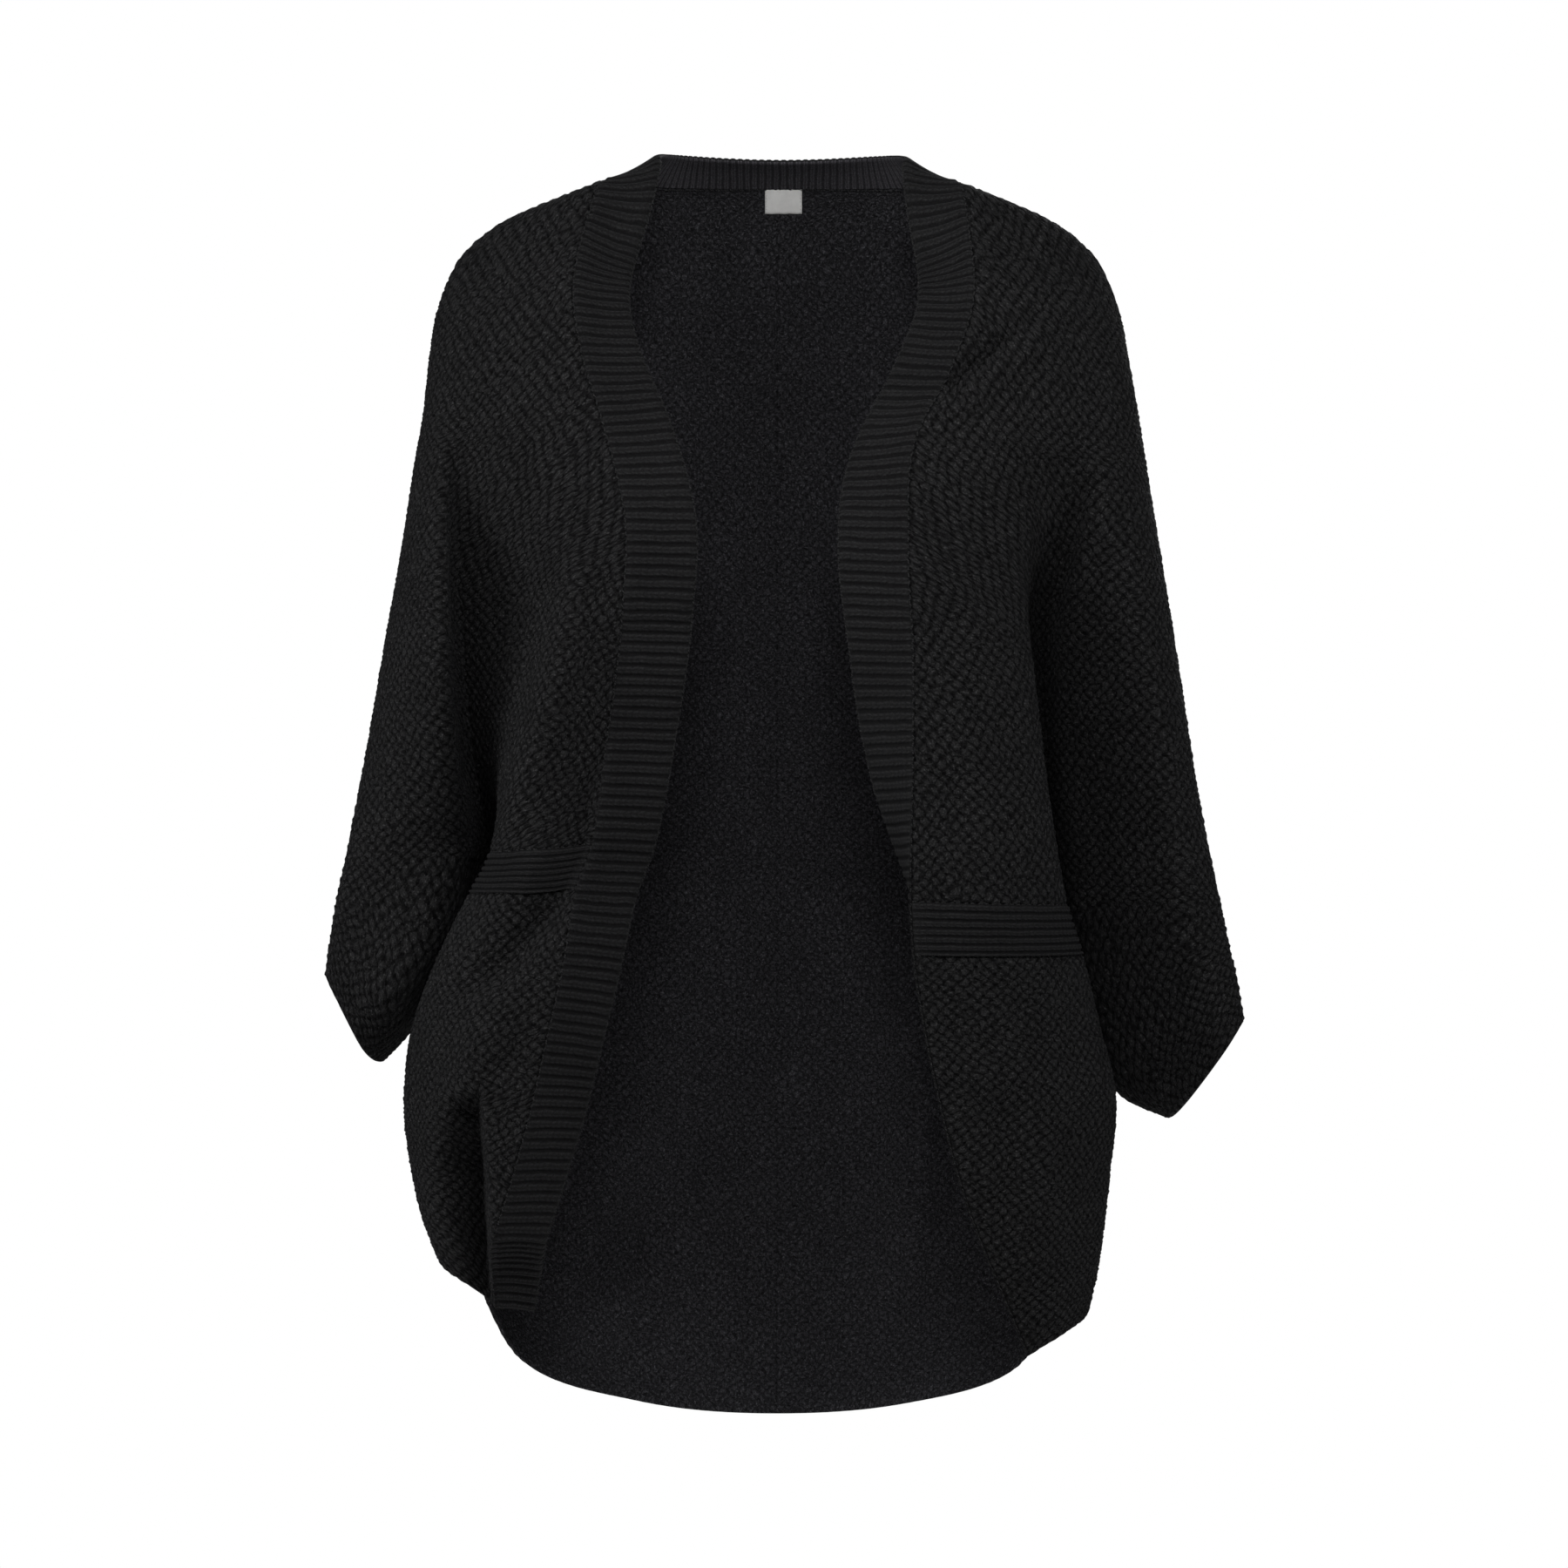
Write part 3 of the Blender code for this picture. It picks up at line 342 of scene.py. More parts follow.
@dataclass(frozen=True)
class Draft:
    """Middle surface of the cloth, in millimetres.

    Row 0 is the shoulder seam with the back neckline, row 1 the waist seam and the
    underarm point, row 2 the hem. A share runs along a row from 0 to 1, a facing is -1
    for the front and 1 for the back, and angles are in degrees.
    """

    wall: float = 3.2
    waist_row: float = 1.0
    lower_row: float = 1.1
    hem_row: float = 2.0
    cuff_row: float = 1.3
    lobe_rows: Pair = (0.22, 0.62)  # one round turns into body and sleeve

    hip_share: float = 0.65  # height of the hip point, from the seam to the valley
    chest_share: float = 0.55  # place of the chest point, from the seam to the hip
    chest_depth: float = 0.22  # how far back it lies by then
    underarm_split: float = 3.2  # body and sleeve keep this from their middle
    split_rows: Pair = (0.6, 0.95)
    split_end_row: float = 1.05
    valley_turns: tuple[Triple, ...] = (  # by how much, and over which rows
        (52.0, 0.30, 0.85), (38.0, 1.0, 1.15))
    sleeve_angles: Pair = (128.0, 60.0)
    sleeve_back_angles: Pair = (62.0, 128.0)
    sleeve_hollow: dict[Side, float] = field(
        default_factory=lambda: {Side.RIGHT: -0.45, Side.LEFT: 0.5})
    hollow_rows: Pair = (0.35, 0.8)
    hollow_end_row: float = 1.05
    cuff_fullness: dict[Side, float] = field(
        default_factory=lambda: {Side.RIGHT: 1.0, Side.LEFT: 0.15})
    fullness_rows: Pair = (0.95, 1.15)
    cuff_back_drop: float = 9.0  # how much lower the cuff ends at the back

    back_angles: tuple[float, ...] = (0.0, 34.0, 63.0, 90.0)
    back_roundness: float = 0.9  # below 1, the back is fuller than an oval
    front_roundness: float = 0.85
    hem_rounding: dict[Side, float] = field(
        default_factory=lambda: {Side.RIGHT: 0.66, Side.LEFT: 0.76})
    shoulder_slope: float = 0.67  # part of the shoulder's drop that is a straight slope
    shoulder_fall: float = 0.33  # the rest, which falls away at the shoulder's end
    shoulder_power: int = 5
    shoulder_row: float = 0.25  # row from which the drop is even
    neckline_row: float = 0.16  # row where the neckline's own form has died away
    tip_share: float = 0.25  # how far along the back the shoulder's tip is felt
    end_reach: float = 1.1  # how strongly a given end direction is followed

    band_width: float = 44.0
    band_shares: Pair = (0.86, 0.16)  # narrowest width, and what is added
    band_wide_rows: Pair = (0.15, 0.5)
    band_hem_rows: Pair = (1.5, 2.0)
    band_arch: float = 2.0
    neck_depth_at_back: float = 74.0
    neck_seam_z: float = 9.0
    neckband_rise: float = 16.0
    neckband_lean: float = 29.0
    neckband_dip: float = 1.8  # its edge rises beside the shoulders and sags in the middle
    neckband_fan: float = 4.5  # how soon its ends stop leaning along the shoulder
    neckband_puff: float = 1.5
    neck_samples: int = 200

    # -------------------- control points of a row
    def seam_point(self, side: Side, row: Array) -> Array:
        """Front band's seam."""
        return points(*(FRONT[side].read(name, row) for name in ("seam_x", "seam_y", "seam_z")))

    def outer_point(self, table: Table, row: Array) -> Array:
        """Outline of shoulder and sleeve, from a side's front or sleeve table."""
        x, z = table.read("outer_x", row), table.read("outer_z", row)
        return points(x, DEPTHS.read("outer_y", row), z)

    def valley_point(self, side: Side, row: Array, facing: float) -> Array:
        """Bottom of the dip between body and sleeve.

        Args:
            side: the wearer's side.
            row: places down the garment.
            facing: front or back.

        Returns:
            One point for each row.
        """
        table = BODY[side]
        y = table.read("valley_y" if facing < 0 else "back_valley_y", row)
        y = np.where(row > self.waist_row, table.read("valley_y", row), y)
        part = self.underarm_split * ease(row, *self.split_rows)
        part = part * (1 - ease(row, self.waist_row, self.split_end_row))
        return points(table.read("valley_x", row), y + facing * part, table.read("valley_z", row))

    @staticmethod
    def sleeve_round(inner: Array, outer: Array, depth: Array, degrees: float,
                     facing: float) -> Array:
        """Point on the sleeve's oval.

        Args:
            inner: the oval's end beside the body.
            outer: its end on the outline.
            depth: half its thickness.
            degrees: from 0 at the outer end to 180 at the inner one.
            facing: front or back.

        Returns:
            One point for each row.
        """
        angle = math.radians(degrees)
        point = mix(inner, outer, np.full(len(inner), (1 + math.cos(angle)) / 2))
        point[:, 1] += facing * depth * math.sin(angle)
        return point

    def front_rounds(self, side: Side, row: Array) -> Array:
        """Control points of a front row whose body and sleeve are two rounds.

        Args:
            side: the wearer's side.
            row: places down the garment.

        Returns:
            Points from the band's seam to the outer line, for each row.
        """
        seam, outer = self.seam_point(side, row), self.outer_point(FRONT[side], row)
        depth = DEPTHS.read("sleeve_depth", row)
        table = BODY[side]
        valley_z = table.read("valley_z", row)
        hip_z = seam[:, 2] * (1 - self.hip_share) + valley_z * self.hip_share
        hip = points(table.read("side_x", row), table.read("side_y", row), hip_z)
        chest = mix(seam, hip, np.full(len(seam), self.chest_share))
        chest[:, 1] = seam[:, 1] + (hip[:, 1] - seam[:, 1]) * self.chest_depth
        valley = self.valley_point(side, row, -1.0)
        sleeve = [self.sleeve_round(valley, outer, depth, a, -1.0) for a in self.sleeve_angles]
        sleeve[0][:, 1] += self.hollow_beside_body(side, row, depth)
        return np.stack([seam, chest, hip, valley] + sleeve + [outer], axis=1)

    def hollow_beside_body(self, side: Side, row: Array, depth: Array) -> Array:
        """How much further back the sleeve's front lies where it goes behind the body.

        Args:
            side: the wearer's side.
            row: places down the garment.
            depth: half the sleeve's thickness there.

        Returns:
            One distance for each row, in millimetres.
        """
        share = self.sleeve_hollow[side] * ease(row, *self.hollow_rows)
        share = share * (1 - ease(row, self.hollow_end_row, self.cuff_row))
        share -= self.cuff_fullness[side] * ease(row, *self.fullness_rows)
        return share * depth * math.sin(math.radians(self.sleeve_angles[0]))

    def back_rounds(self, side: Side, row: Array) -> Array:
        """Control points of a back row whose sleeve and body are two rounds.

        Args:
            side: the wearer's side.
            row: places down the garment.

        Returns:
            Points from the outer line to the centre back, for each row.
        """
        outer = self.outer_point(FRONT[side], row)
        depth = DEPTHS.read("sleeve_depth", row)
        back_y, back_z = DEPTHS.read("back_y", row), DEPTHS.read("back_z", row)
        valley = self.valley_point(side, row, 1.0)
        controls = [outer]
        controls += [self.sleeve_round(valley, outer, depth, a, 1.0)
                     for a in self.sleeve_back_angles]
        for degrees in self.back_angles:
            turn = math.radians(degrees)
            round_y, round_z = self.back_roundness, self.hem_rounding[side]
            controls.append(points(
                valley[:, 0] * math.cos(turn),
                valley[:, 1] + (back_y - valley[:, 1]) * math.sin(turn) ** round_y,
                valley[:, 2] + (back_z - valley[:, 2]) * math.sin(turn) ** round_z,
            ))
        return np.stack(controls, axis=1)

    def sleeve_end(self, side: Side, row: Array) -> tuple[Array, Array]:
        """Control points of the sleeve between the split and the cuff.

        Args:
            side: the wearer's side.
            row: places down the sleeve.

        Returns:
            The front's points from the inner line out, and the back's from the outer line in.
        """
        table = SLEEVE[side]
        part = self.underarm_split * (1 - ease(row, self.waist_row, self.split_end_row))
        outer = self.outer_point(table, row)
        depth = DEPTHS.read("sleeve_depth", row)
        drop = self.cuff_back_drop * ease(row, self.lower_row, self.cuff_row)
        x, y, z = (table.read(name, row) for name in ("inner_x", "inner_y", "inner_z"))
        front = [self.sleeve_round(points(x, y - part, z), outer, depth, a, -1.0)
                 for a in self.sleeve_angles]
        front[0][:, 1] += self.hollow_beside_body(side, row, depth)
        back = [self.sleeve_round(points(x, y + part, z), outer, depth, a, 1.0)
                for a in self.sleeve_back_angles]
        for point in back:
            point[:, 2] -= drop
        return (np.stack([points(x, y - part, z)] + front + [outer], axis=1),
                np.stack([outer] + back + [points(x, y + part, z)], axis=1))

    # -------------------- shoulders, one single round
    def shoulder_drop(self, share: Array) -> Array:
        """How far down the shoulder's outline has come at a share of its width."""
        return self.shoulder_slope * share + self.shoulder_fall * share**self.shoulder_power

    def front_single(self, side: Side, row: Array, share: Array) -> Array:
        """Upper front as one round.

        Args:
            side: the wearer's side.
            row: places down the garment.
            share: places from the seam (0) to the outer line (1).

        Returns:
            Points in millimetres, rows by shares by three.
        """
        seam = self.seam_point(side, row)[:, None]
        outer = self.outer_point(FRONT[side], row)[:, None]
        turn = np.asarray(share)[None, :] * math.pi / 2
        across = np.sin(turn)
        straight = ease(row, 0.0, self.shoulder_row)[:, None]
        fall = across * straight + self.shoulder_drop(across) * (1 - straight)
        return points(
            seam[..., 0] + (outer[..., 0] - seam[..., 0]) * across,
            outer[..., 1] + (seam[..., 1] - outer[..., 1]) * np.cos(turn) ** self.front_roundness,
            seam[..., 2] + (outer[..., 2] - seam[..., 2]) * fall,
        )

    def back_single(self, side: Side, row: Array, share: Array) -> Array:
        """Upper back as one round.

        Args:
            side: the wearer's side.
            row: places down the garment.
            share: places from the outer line (0) to the centre back (1).

        Returns:
            Points in millimetres, rows by shares by three.
        """
        outer = self.outer_point(FRONT[side], row)[:, None]
        back_y, back_z = (DEPTHS.read(name, row)[:, None] for name in ("back_y", "back_z"))
        turn = np.asarray(share)[None, :] * math.pi / 2
        round_back = points(
            outer[..., 0] * np.cos(turn),
            outer[..., 1] + (back_y - outer[..., 1]) * np.sin(turn) ** self.back_roundness,
            outer[..., 2] + (back_z - outer[..., 2]) * np.sin(turn),
        )
        left = np.clip(1 - row / self.neckline_row, 0.0, 1.0)[:, None] ** 2
        grid = mix(self.neckline(side, share)[None], round_back, 1 - left)
        tip = points(*self.neckline(side, np.zeros(1))[0])
        near_tip = np.clip(1 - np.asarray(share) / self.tip_share, 0, 1) ** 2
        return grid + ((outer[:, 0] - tip) * left)[:, None] * near_tip[None, :, None]

    def neckline(self, side: Side, share: Array) -> Array:
        """Row 0 of the back: shoulder seam up to half the share, then round the neck.

        Args:
            side: the wearer's side.
            share: places from the shoulder's tip (0) to the centre back (1).

        Returns:
            One point for each share.
        """
        share = np.asarray(share, float)
        seam = self.seam_point(side, np.zeros(1))[0]
        tip = self.outer_point(FRONT[side], np.zeros(1))[0]
        up = np.clip(1 - 2 * share, 0.0, 1.0)
        turn = np.clip(2 * share - 1, 0.0, 1.0) * math.pi / 2
        shoulder = points(
            seam[0] + (tip[0] - seam[0]) * up,
            seam[1] + (tip[1] - seam[1]) * up,
            seam[2] + (tip[2] - seam[2]) * self.shoulder_drop(up),
        )
        neck = points(
            seam[0] * np.cos(turn),
            seam[1] + self.neck_depth_at_back * np.sin(turn),
            seam[2] + (self.neck_seam_z - seam[2]) * np.sin(turn),
        )
        return np.where((share < 0.5)[:, None], shoulder, neck)

    # -------------------- curves and folds
    def curve(self, controls: Array, start: Array | None, end: Array | None,
              shares: Array) -> Array:
        """Smooth curve through each row's control points.

        Args:
            controls: points of each row.
            start: direction in which each row sets out, where it is given.
            end: direction in which it arrives, where it is given.
            shares: places along the curve.

        Returns:
            Points in millimetres, rows by shares by three.
        """
        last = controls.shape[1] - 1
        chords = np.linalg.norm(np.diff(controls, axis=1), axis=2)
        slopes = np.zeros_like(controls)
        slopes[:, 1:-1] = (controls[:, 2:] - controls[:, :-2]) / 2
        slopes[:, 0] = controls[:, 1] - controls[:, 0]
        slopes[:, -1] = controls[:, -1] - controls[:, -2]
        if start is not None:
            slopes[:, 0] = start * chords[:, :1] * self.end_reach
        if end is not None:
            slopes[:, -1] = end * chords[:, -1:] * self.end_reach
        place = np.asarray(shares) * last
        i = np.clip(place.astype(int), 0, last - 1)
        return hermite(controls[:, i], controls[:, i + 1], slopes[:, i], slopes[:, i + 1],
                       (place - i)[None, :, None])

    def valley_direction(self, row: Array, y_sign: float, x_sign: float) -> Array:
        """Direction of a row as it enters or leaves the valley."""
        steep = np.radians(sum(turn * ease(row, *rows) for turn, *rows in self.valley_turns))
        return points(x_sign * np.cos(steep), y_sign * np.sin(steep), 0.0)

    @staticmethod
    def outer_slope(controls: Array, around: Array, shares: Array, stretch: Stretch) -> Array:
        """Makes front and back share one direction where they meet at the outer line.

        Args:
            controls: control points of the sleeve's front or back.
            around: way from the front's last point but one to the back's second.
            shares: places along the row.
            stretch: the sleeve's front or back.

        Returns:
            What is added to the curve, rows by shares by three.
        """
        place = np.asarray(shares) * (controls.shape[1] - 1)
        if stretch is Stretch.SLEEVE_FRONT:
            t = np.clip(place - (controls.shape[1] - 2), 0, 1)[None, :, None]
            current = controls[:, -1] - controls[:, -2]
            return (around / 2 - current)[:, None] * t * t * (t - 1)
        t = np.clip(place, 0, 1)[None, :, None]
        current = controls[:, 1] - controls[:, 0]
        return (around / 2 - current)[:, None] * t * (1 - t) ** 2

    @staticmethod
    def add_folds(grid: Array, folds: Sequence[Fold], facing: float) -> Array:
        """Sinks the cloth along fold lines.

        Args:
            grid: points, rows by shares by three, changed in place.
            folds: the fold lines, seen in the front view.
            facing: front or back.

        Returns:
            The same grid.
        """
        for fold in folds:
            knots = np.array(fold.knots, float)
            best = np.full(grid.shape[:2], 1e9)
            sink = np.zeros(grid.shape[:2])
            for (x0, z0, w0, d0), (x1, z1, w1, d1) in zip(knots[:-1], knots[1:]):
                run = np.array([x1 - x0, z1 - z0])
                place = (grid[..., 0] - x0) * run[0] + (grid[..., 2] - z0) * run[1]
                place = np.clip(place / (run @ run), 0.0, 1.0)
                aside = grid[..., 0] - x0 - run[0] * place
                away = np.hypot(aside, grid[..., 2] - z0 - run[1] * place)
                share = away / (w0 + (w1 - w0) * place) / np.where(aside < 0, fold.lip, 1.0)
                value = (d0 + (d1 - d0) * ease(place, 0.0, 1.0)) * (1 - ease(share, 0.0, 1.0))
                sink = np.where(share < best, value, sink)
                best = np.minimum(best, share)
            reached = 1 - ease(-facing * grid[..., 1], fold.full_y, fold.ends_y)
            grid[..., 1] -= facing * sink * reached
        return grid

    # -------------------- the surface
    def surface(self, side: Side, stretch: Stretch, rows: Any, shares: Any) -> Array:
        """Grid of points of one stretch.

        Args:
            side: the wearer's side.
            stretch: which of the four stretches.
            rows: places down the garment.
            shares: places along the row.

        Returns:
            Points in millimetres, rows by shares by three.
        """
        row, shares = np.asarray(rows, float), np.asarray(shares, float)
        lobes = ease(row, *self.lobe_rows)[:, None]
        left = points(np.full(len(row), -1.0), 0.0, 0.0)
        if stretch is Stretch.BODY_FRONT:
            grid = self.curve(self.front_rounds(side, row)[:, :4], None,
                              self.valley_direction(row, 1.0, 1.0), shares)
            grid = mix(self.front_single(side, row, shares / 2), grid, lobes)
            return self.signed(self.add_folds(grid, FOLDS[side], -1.0), side)
        if stretch is Stretch.BODY_BACK:
            grid = self.curve(self.back_rounds(side, row)[:, 3:],
                              self.valley_direction(row, 1.0, -1.0), left, shares)
            grid = mix(self.back_single(side, row, 0.5 + shares / 2), grid, lobes)
            return self.signed(self.add_folds(grid, BACK_FOLDS[side], 1.0), side)
        upper = np.minimum(row, self.waist_row)
        front = self.front_rounds(side, upper)[:, 3:]
        back = self.back_rounds(side, upper)[:, :4]
        low = row > self.waist_row
        if low.any():
            front[low], back[low] = self.sleeve_end(side, row[low])
        around = back[:, 1] - front[:, -2]
        if stretch is Stretch.SLEEVE_FRONT:
            grid = self.curve(front, self.valley_direction(row, -1.0, 1.0), None, shares)
            grid += self.outer_slope(front, around, shares, stretch)
            grid = mix(self.front_single(side, upper, 0.5 + shares / 2), grid, lobes)
            return self.signed(self.add_folds(grid, FOLDS[side], -1.0), side)
        grid = self.curve(back, None, self.valley_direction(row, -1.0, -1.0), shares)
        grid += self.outer_slope(back, around, shares, stretch)
        grid = mix(self.back_single(side, upper, shares / 2), grid, lobes)
        return self.signed(grid, side)

    @staticmethod
    def signed(grid: Array, side: Side) -> Array:
        """Turns distances from the centre line into X."""
        return grid * [side.value, 1.0, 1.0]

    # -------------------- bands' middle
    def band(self, side: Side, rows: Array, places: Array) -> Array:
        """Front band, from its seam (place 0) to the free edge (place 1).

        Args:
            side: the wearer's side.
            rows: places down the garment.
            places: places across the band.

        Returns:
            Points in millimetres, rows by places by three.
        """
        table = FRONT[side]
        seam = self.surface(side, Stretch.BODY_FRONT, rows, np.zeros(1))[:, 0]
        turn, rise = np.radians(table.read("turn", rows)), table.read("rise", rows)
        least, more = self.band_shares
        share = least + more * ease(rows, *self.band_wide_rows)
        width = self.band_width * (share - more * ease(rows, *self.band_hem_rows))
        level = np.sqrt(width**2 - rise**2)
        across = points(-side.value * np.cos(turn) * level, np.sin(turn) * level, rise)
        bulge = unit(np.cross(np.gradient(seam, axis=0), across)) * (side.value * self.band_arch)
        place = places[None, :, None]
        return seam[:, None] + across[:, None] * place + bulge[:, None] * (4 * place * (1 - place))

    def neckband(self, places_round: Array, places_up: Array) -> Array:
        """Neckband, from its seam (0) to the free edge (1), right shoulder to left.

        Args:
            places_round: places round the neck from 0 to 1.
            places_up: places from the seam to the free edge.

        Returns:
            Points in millimetres, round by up by three.
        """
        fine, top = np.linspace(0, 1, self.neck_samples), np.zeros(1)
        half = [self.surface(side, Stretch.BODY_BACK, top, fine)[0] for side in Side]
        neck = np.concatenate([half[0], half[1][-2::-1]])
        run = arc_length(neck[None])[0]
        seam = follow(places_round * run[-1], run, neck)
        turn = np.asarray(places_round) * math.pi
        rise = self.neckband_rise * np.sin(turn) ** 2 + self.neckband_dip * np.sin(3 * turn)
        across = points(0.0, -self.neckband_lean * np.sin(turn), rise)
        ends = [self.band(side, np.array([0.0, 0.01]), np.array([0.0, 0.5, 1.0]))[0]
                for side in Side]
        for end, sign in zip(ends, (1, -1)):
            share = np.maximum(sign * np.cos(turn), 0.0)
            chord = end[2] - end[0]
            across += points(chord[0] * share**self.neckband_fan, chord[1] * share,
                             chord[2] * share**2)
        puff = np.outer(np.sin(turn), (0.0, self.neckband_puff, self.neckband_puff))
        end_puff = ends[0][1] - (ends[0][0] + ends[0][2]) / 2
        puff += np.outer(1 - np.sin(turn), end_puff) * [0, 0, 1]
        up = np.asarray(places_up)[None, :, None]
        return seam[:, None] + across[:, None] * up + puff[:, None] * (4 * up * (1 - up))


# -------------------- laying stitches
@dataclass(frozen=True)
class Gauge:
    """How the moss stitch repeats, in millimetres, and how far it stands out."""

    repeat: float = 8.2  # two stitches wide, two rows high
    step: float = 2.05  # spacing of the mesh, a quarter of the repeat
    least: float = 0.8  # closer than this to an edge, a grid line is left out
    edge_line: float = 0.7  # extra line of points beside a free edge
    relief: float = 1.0  # outside
    relief_inside: float = 0.9
    fullness: float = 0.62  # below 1, knots are broad and the gaps between them narrow
    course: float = 0.25  # how much the inside shows its rows
    course_shift: float = 0.9  # and where they lie against the knots, in radians
    jitter: float = 0.25  # uneven height of the knots, share of the relief
    pulls: tuple[Pair, ...] = ((0.7, 0.10), (2.6, 0.22))  # reach, distance
    shoulder_row: float = 0.17
    shoulder_run: float = 88.0  # cloth length of the rows down to shoulder_row
    body_run: float = 360.0  # from there to row 1
    lower_run: float = 332.0  # each whole row below 1

    def run(self, row: Any) -> Array:
        """Length of cloth from the shoulder to a row."""
        waist, row = self.shoulder_run + self.body_run, np.asarray(row, float)
        return np.where(row > 1.0, waist + (row - 1.0) * self.lower_run,
                        np.interp(row, (0, self.shoulder_row, 1), (0, self.shoulder_run, waist)))

    def row(self, run: Any) -> Array:
        """Row at a length of cloth from the shoulder."""
        waist, run = self.shoulder_run + self.body_run, np.asarray(run, float)
        return np.where(run > waist, 1.0 + (run - waist) / self.lower_run,
                        np.interp(run, (0, self.shoulder_run, waist), (0, self.shoulder_row, 1)))

    def marks(self, first: float, last: float, open_first: bool, open_last: bool) -> Array:
        """Grid lines between two ends.

        Args:
            first: place of one end, in millimetres.
            last: place of the other.
            open_first: whether the first end is open and has a line beside it.
            open_last: the same for the last end.

        Returns:
            Places of the lines, with both ends.
        """
        start = math.ceil((first + self.least) / self.step)
        stop = math.floor((last - self.least) / self.step)
        inner = np.arange(start, stop + 1) * self.step
        if open_first:
            inner = inner[inner > first + 2 * self.edge_line]
            inner = np.concatenate([[first + self.edge_line], inner])
        if open_last:
            inner = inner[inner < last - 2 * self.edge_line]
            inner = np.concatenate([inner, [last - self.edge_line]])
        return np.concatenate([[first], inner, [last]])

    def heights(self, stitches: Array, inside: bool) -> Array:
        """Height of the stitches over the cloth's mean face, in millimetres.

        Args:
            stitches: places on the stitch grid, in repeats.
            inside: whether this is the inside face.

        Returns:
            One height for each place.
        """
        u, v = stitches[:, 0], stitches[:, 1]
        share = (1 + np.cos(2 * math.pi * u) * np.cos(2 * math.pi * v)) / 2
        knots = 2 * share**self.fullness - 1
        knots += self.jitter * (2 * scatter(np.round(u + v), np.round(u - v)) - 1)
        if not inside:
            return self.relief * knots
        courses = self.course * np.cos(2 * math.pi * v + self.course_shift)
        return self.relief_inside * (knots * (1 - self.course) + courses)

    def sway(self, stitches: Array) -> Array:
        """Stitch places pulled about a little, as a hand-fed machine leaves them.

        Args:
            stitches: even places on the stitch grid, in repeats.

        Returns:
            Uneven places.
        """
        moved = stitches.copy()
        for size, amount in self.pulls:
            cell = np.floor(stitches / size)
            part = ease(stitches / size - cell, 0.0, 1.0)
            for axis in (0, 1):
                key = np.full(len(cell), axis + size)
                low, high = (
                    scatter(cell[:, 0] + i, cell[:, 1], key) * (1 - part[:, 1])
                    + scatter(cell[:, 0] + i, cell[:, 1] + 1, key) * part[:, 1]
                    for i in (0, 1))
                pull = low * (1 - part[:, 0]) + high * part[:, 0]
                moved[:, axis] += amount * (2 * pull - 1)
        return moved


@dataclass
class Patch:
    """One stretch of cloth on the stitch grid, in millimetres."""

    points: Array
    normals: Array
    stitches: Array
    bulk: Array  # share of the wall's thickness, less at seams and edges
    proud: Array  # share of the relief
    triangles: Array

    @staticmethod
    def joined(patches: Sequence["Patch"]) -> "Patch":
        """One patch of several that share points along their joins.

        Args:
            patches: the patches, in any order.

        Returns:
            A patch that has each shared point once.
        """
        count = np.cumsum([0] + [len(p.points) for p in patches])
        every = np.concatenate([p.points for p in patches])
        _, first, number = np.unique(np.round(every, 2), axis=0, return_index=True,
                                     return_inverse=True)
        number = number.reshape(-1)
        normals = np.zeros((len(first), 3))
        np.add.at(normals, number, np.concatenate([p.normals for p in patches]))
        triangles = np.concatenate([number[p.triangles + c] for p, c in zip(patches, count)])
        flat = (triangles == np.roll(triangles, 1, axis=1)).any(axis=1)
        stitches, bulk, proud = (
            np.concatenate([getattr(p, name) for p in patches])[first]
            for name in ("stitches", "bulk", "proud"))
        return Patch(every[first], unit(normals), stitches, bulk, proud, triangles[~flat])


def zip_lines(upper: Array, lower: Array, first: int, second: int,
              step: float) -> list[tuple[int, int, int]]:
    """Triangles between two lines of points, sorted along the row.

    Args:
        upper: places along the upper line.
        lower: places along the lower line.
        first: number of the upper line's first point.
        second: number of the lower line's first point.
        step: spacing of the grid, which decides the diagonals.

    Returns:
        Point numbers of each triangle.
    """
    out = []
    i = j = 0
    n, m = len(upper) - 1, len(lower) - 1
    while i < n or j < m:
        if i == n:
            along_upper = False
        elif j == m:
            along_upper = True
        else:
            gap = upper[i + 1] - lower[j + 1]
            even = int(round(upper[i + 1] / step)) % 2 == 0
            along_upper = gap < 0 if abs(gap) > 1e-6 else even
        if along_upper:
            out.append((first + i, second + j, first + i + 1))
            i += 1
        else:
            out.append((first + i, second + j, second + j + 1))
            j += 1
    return out


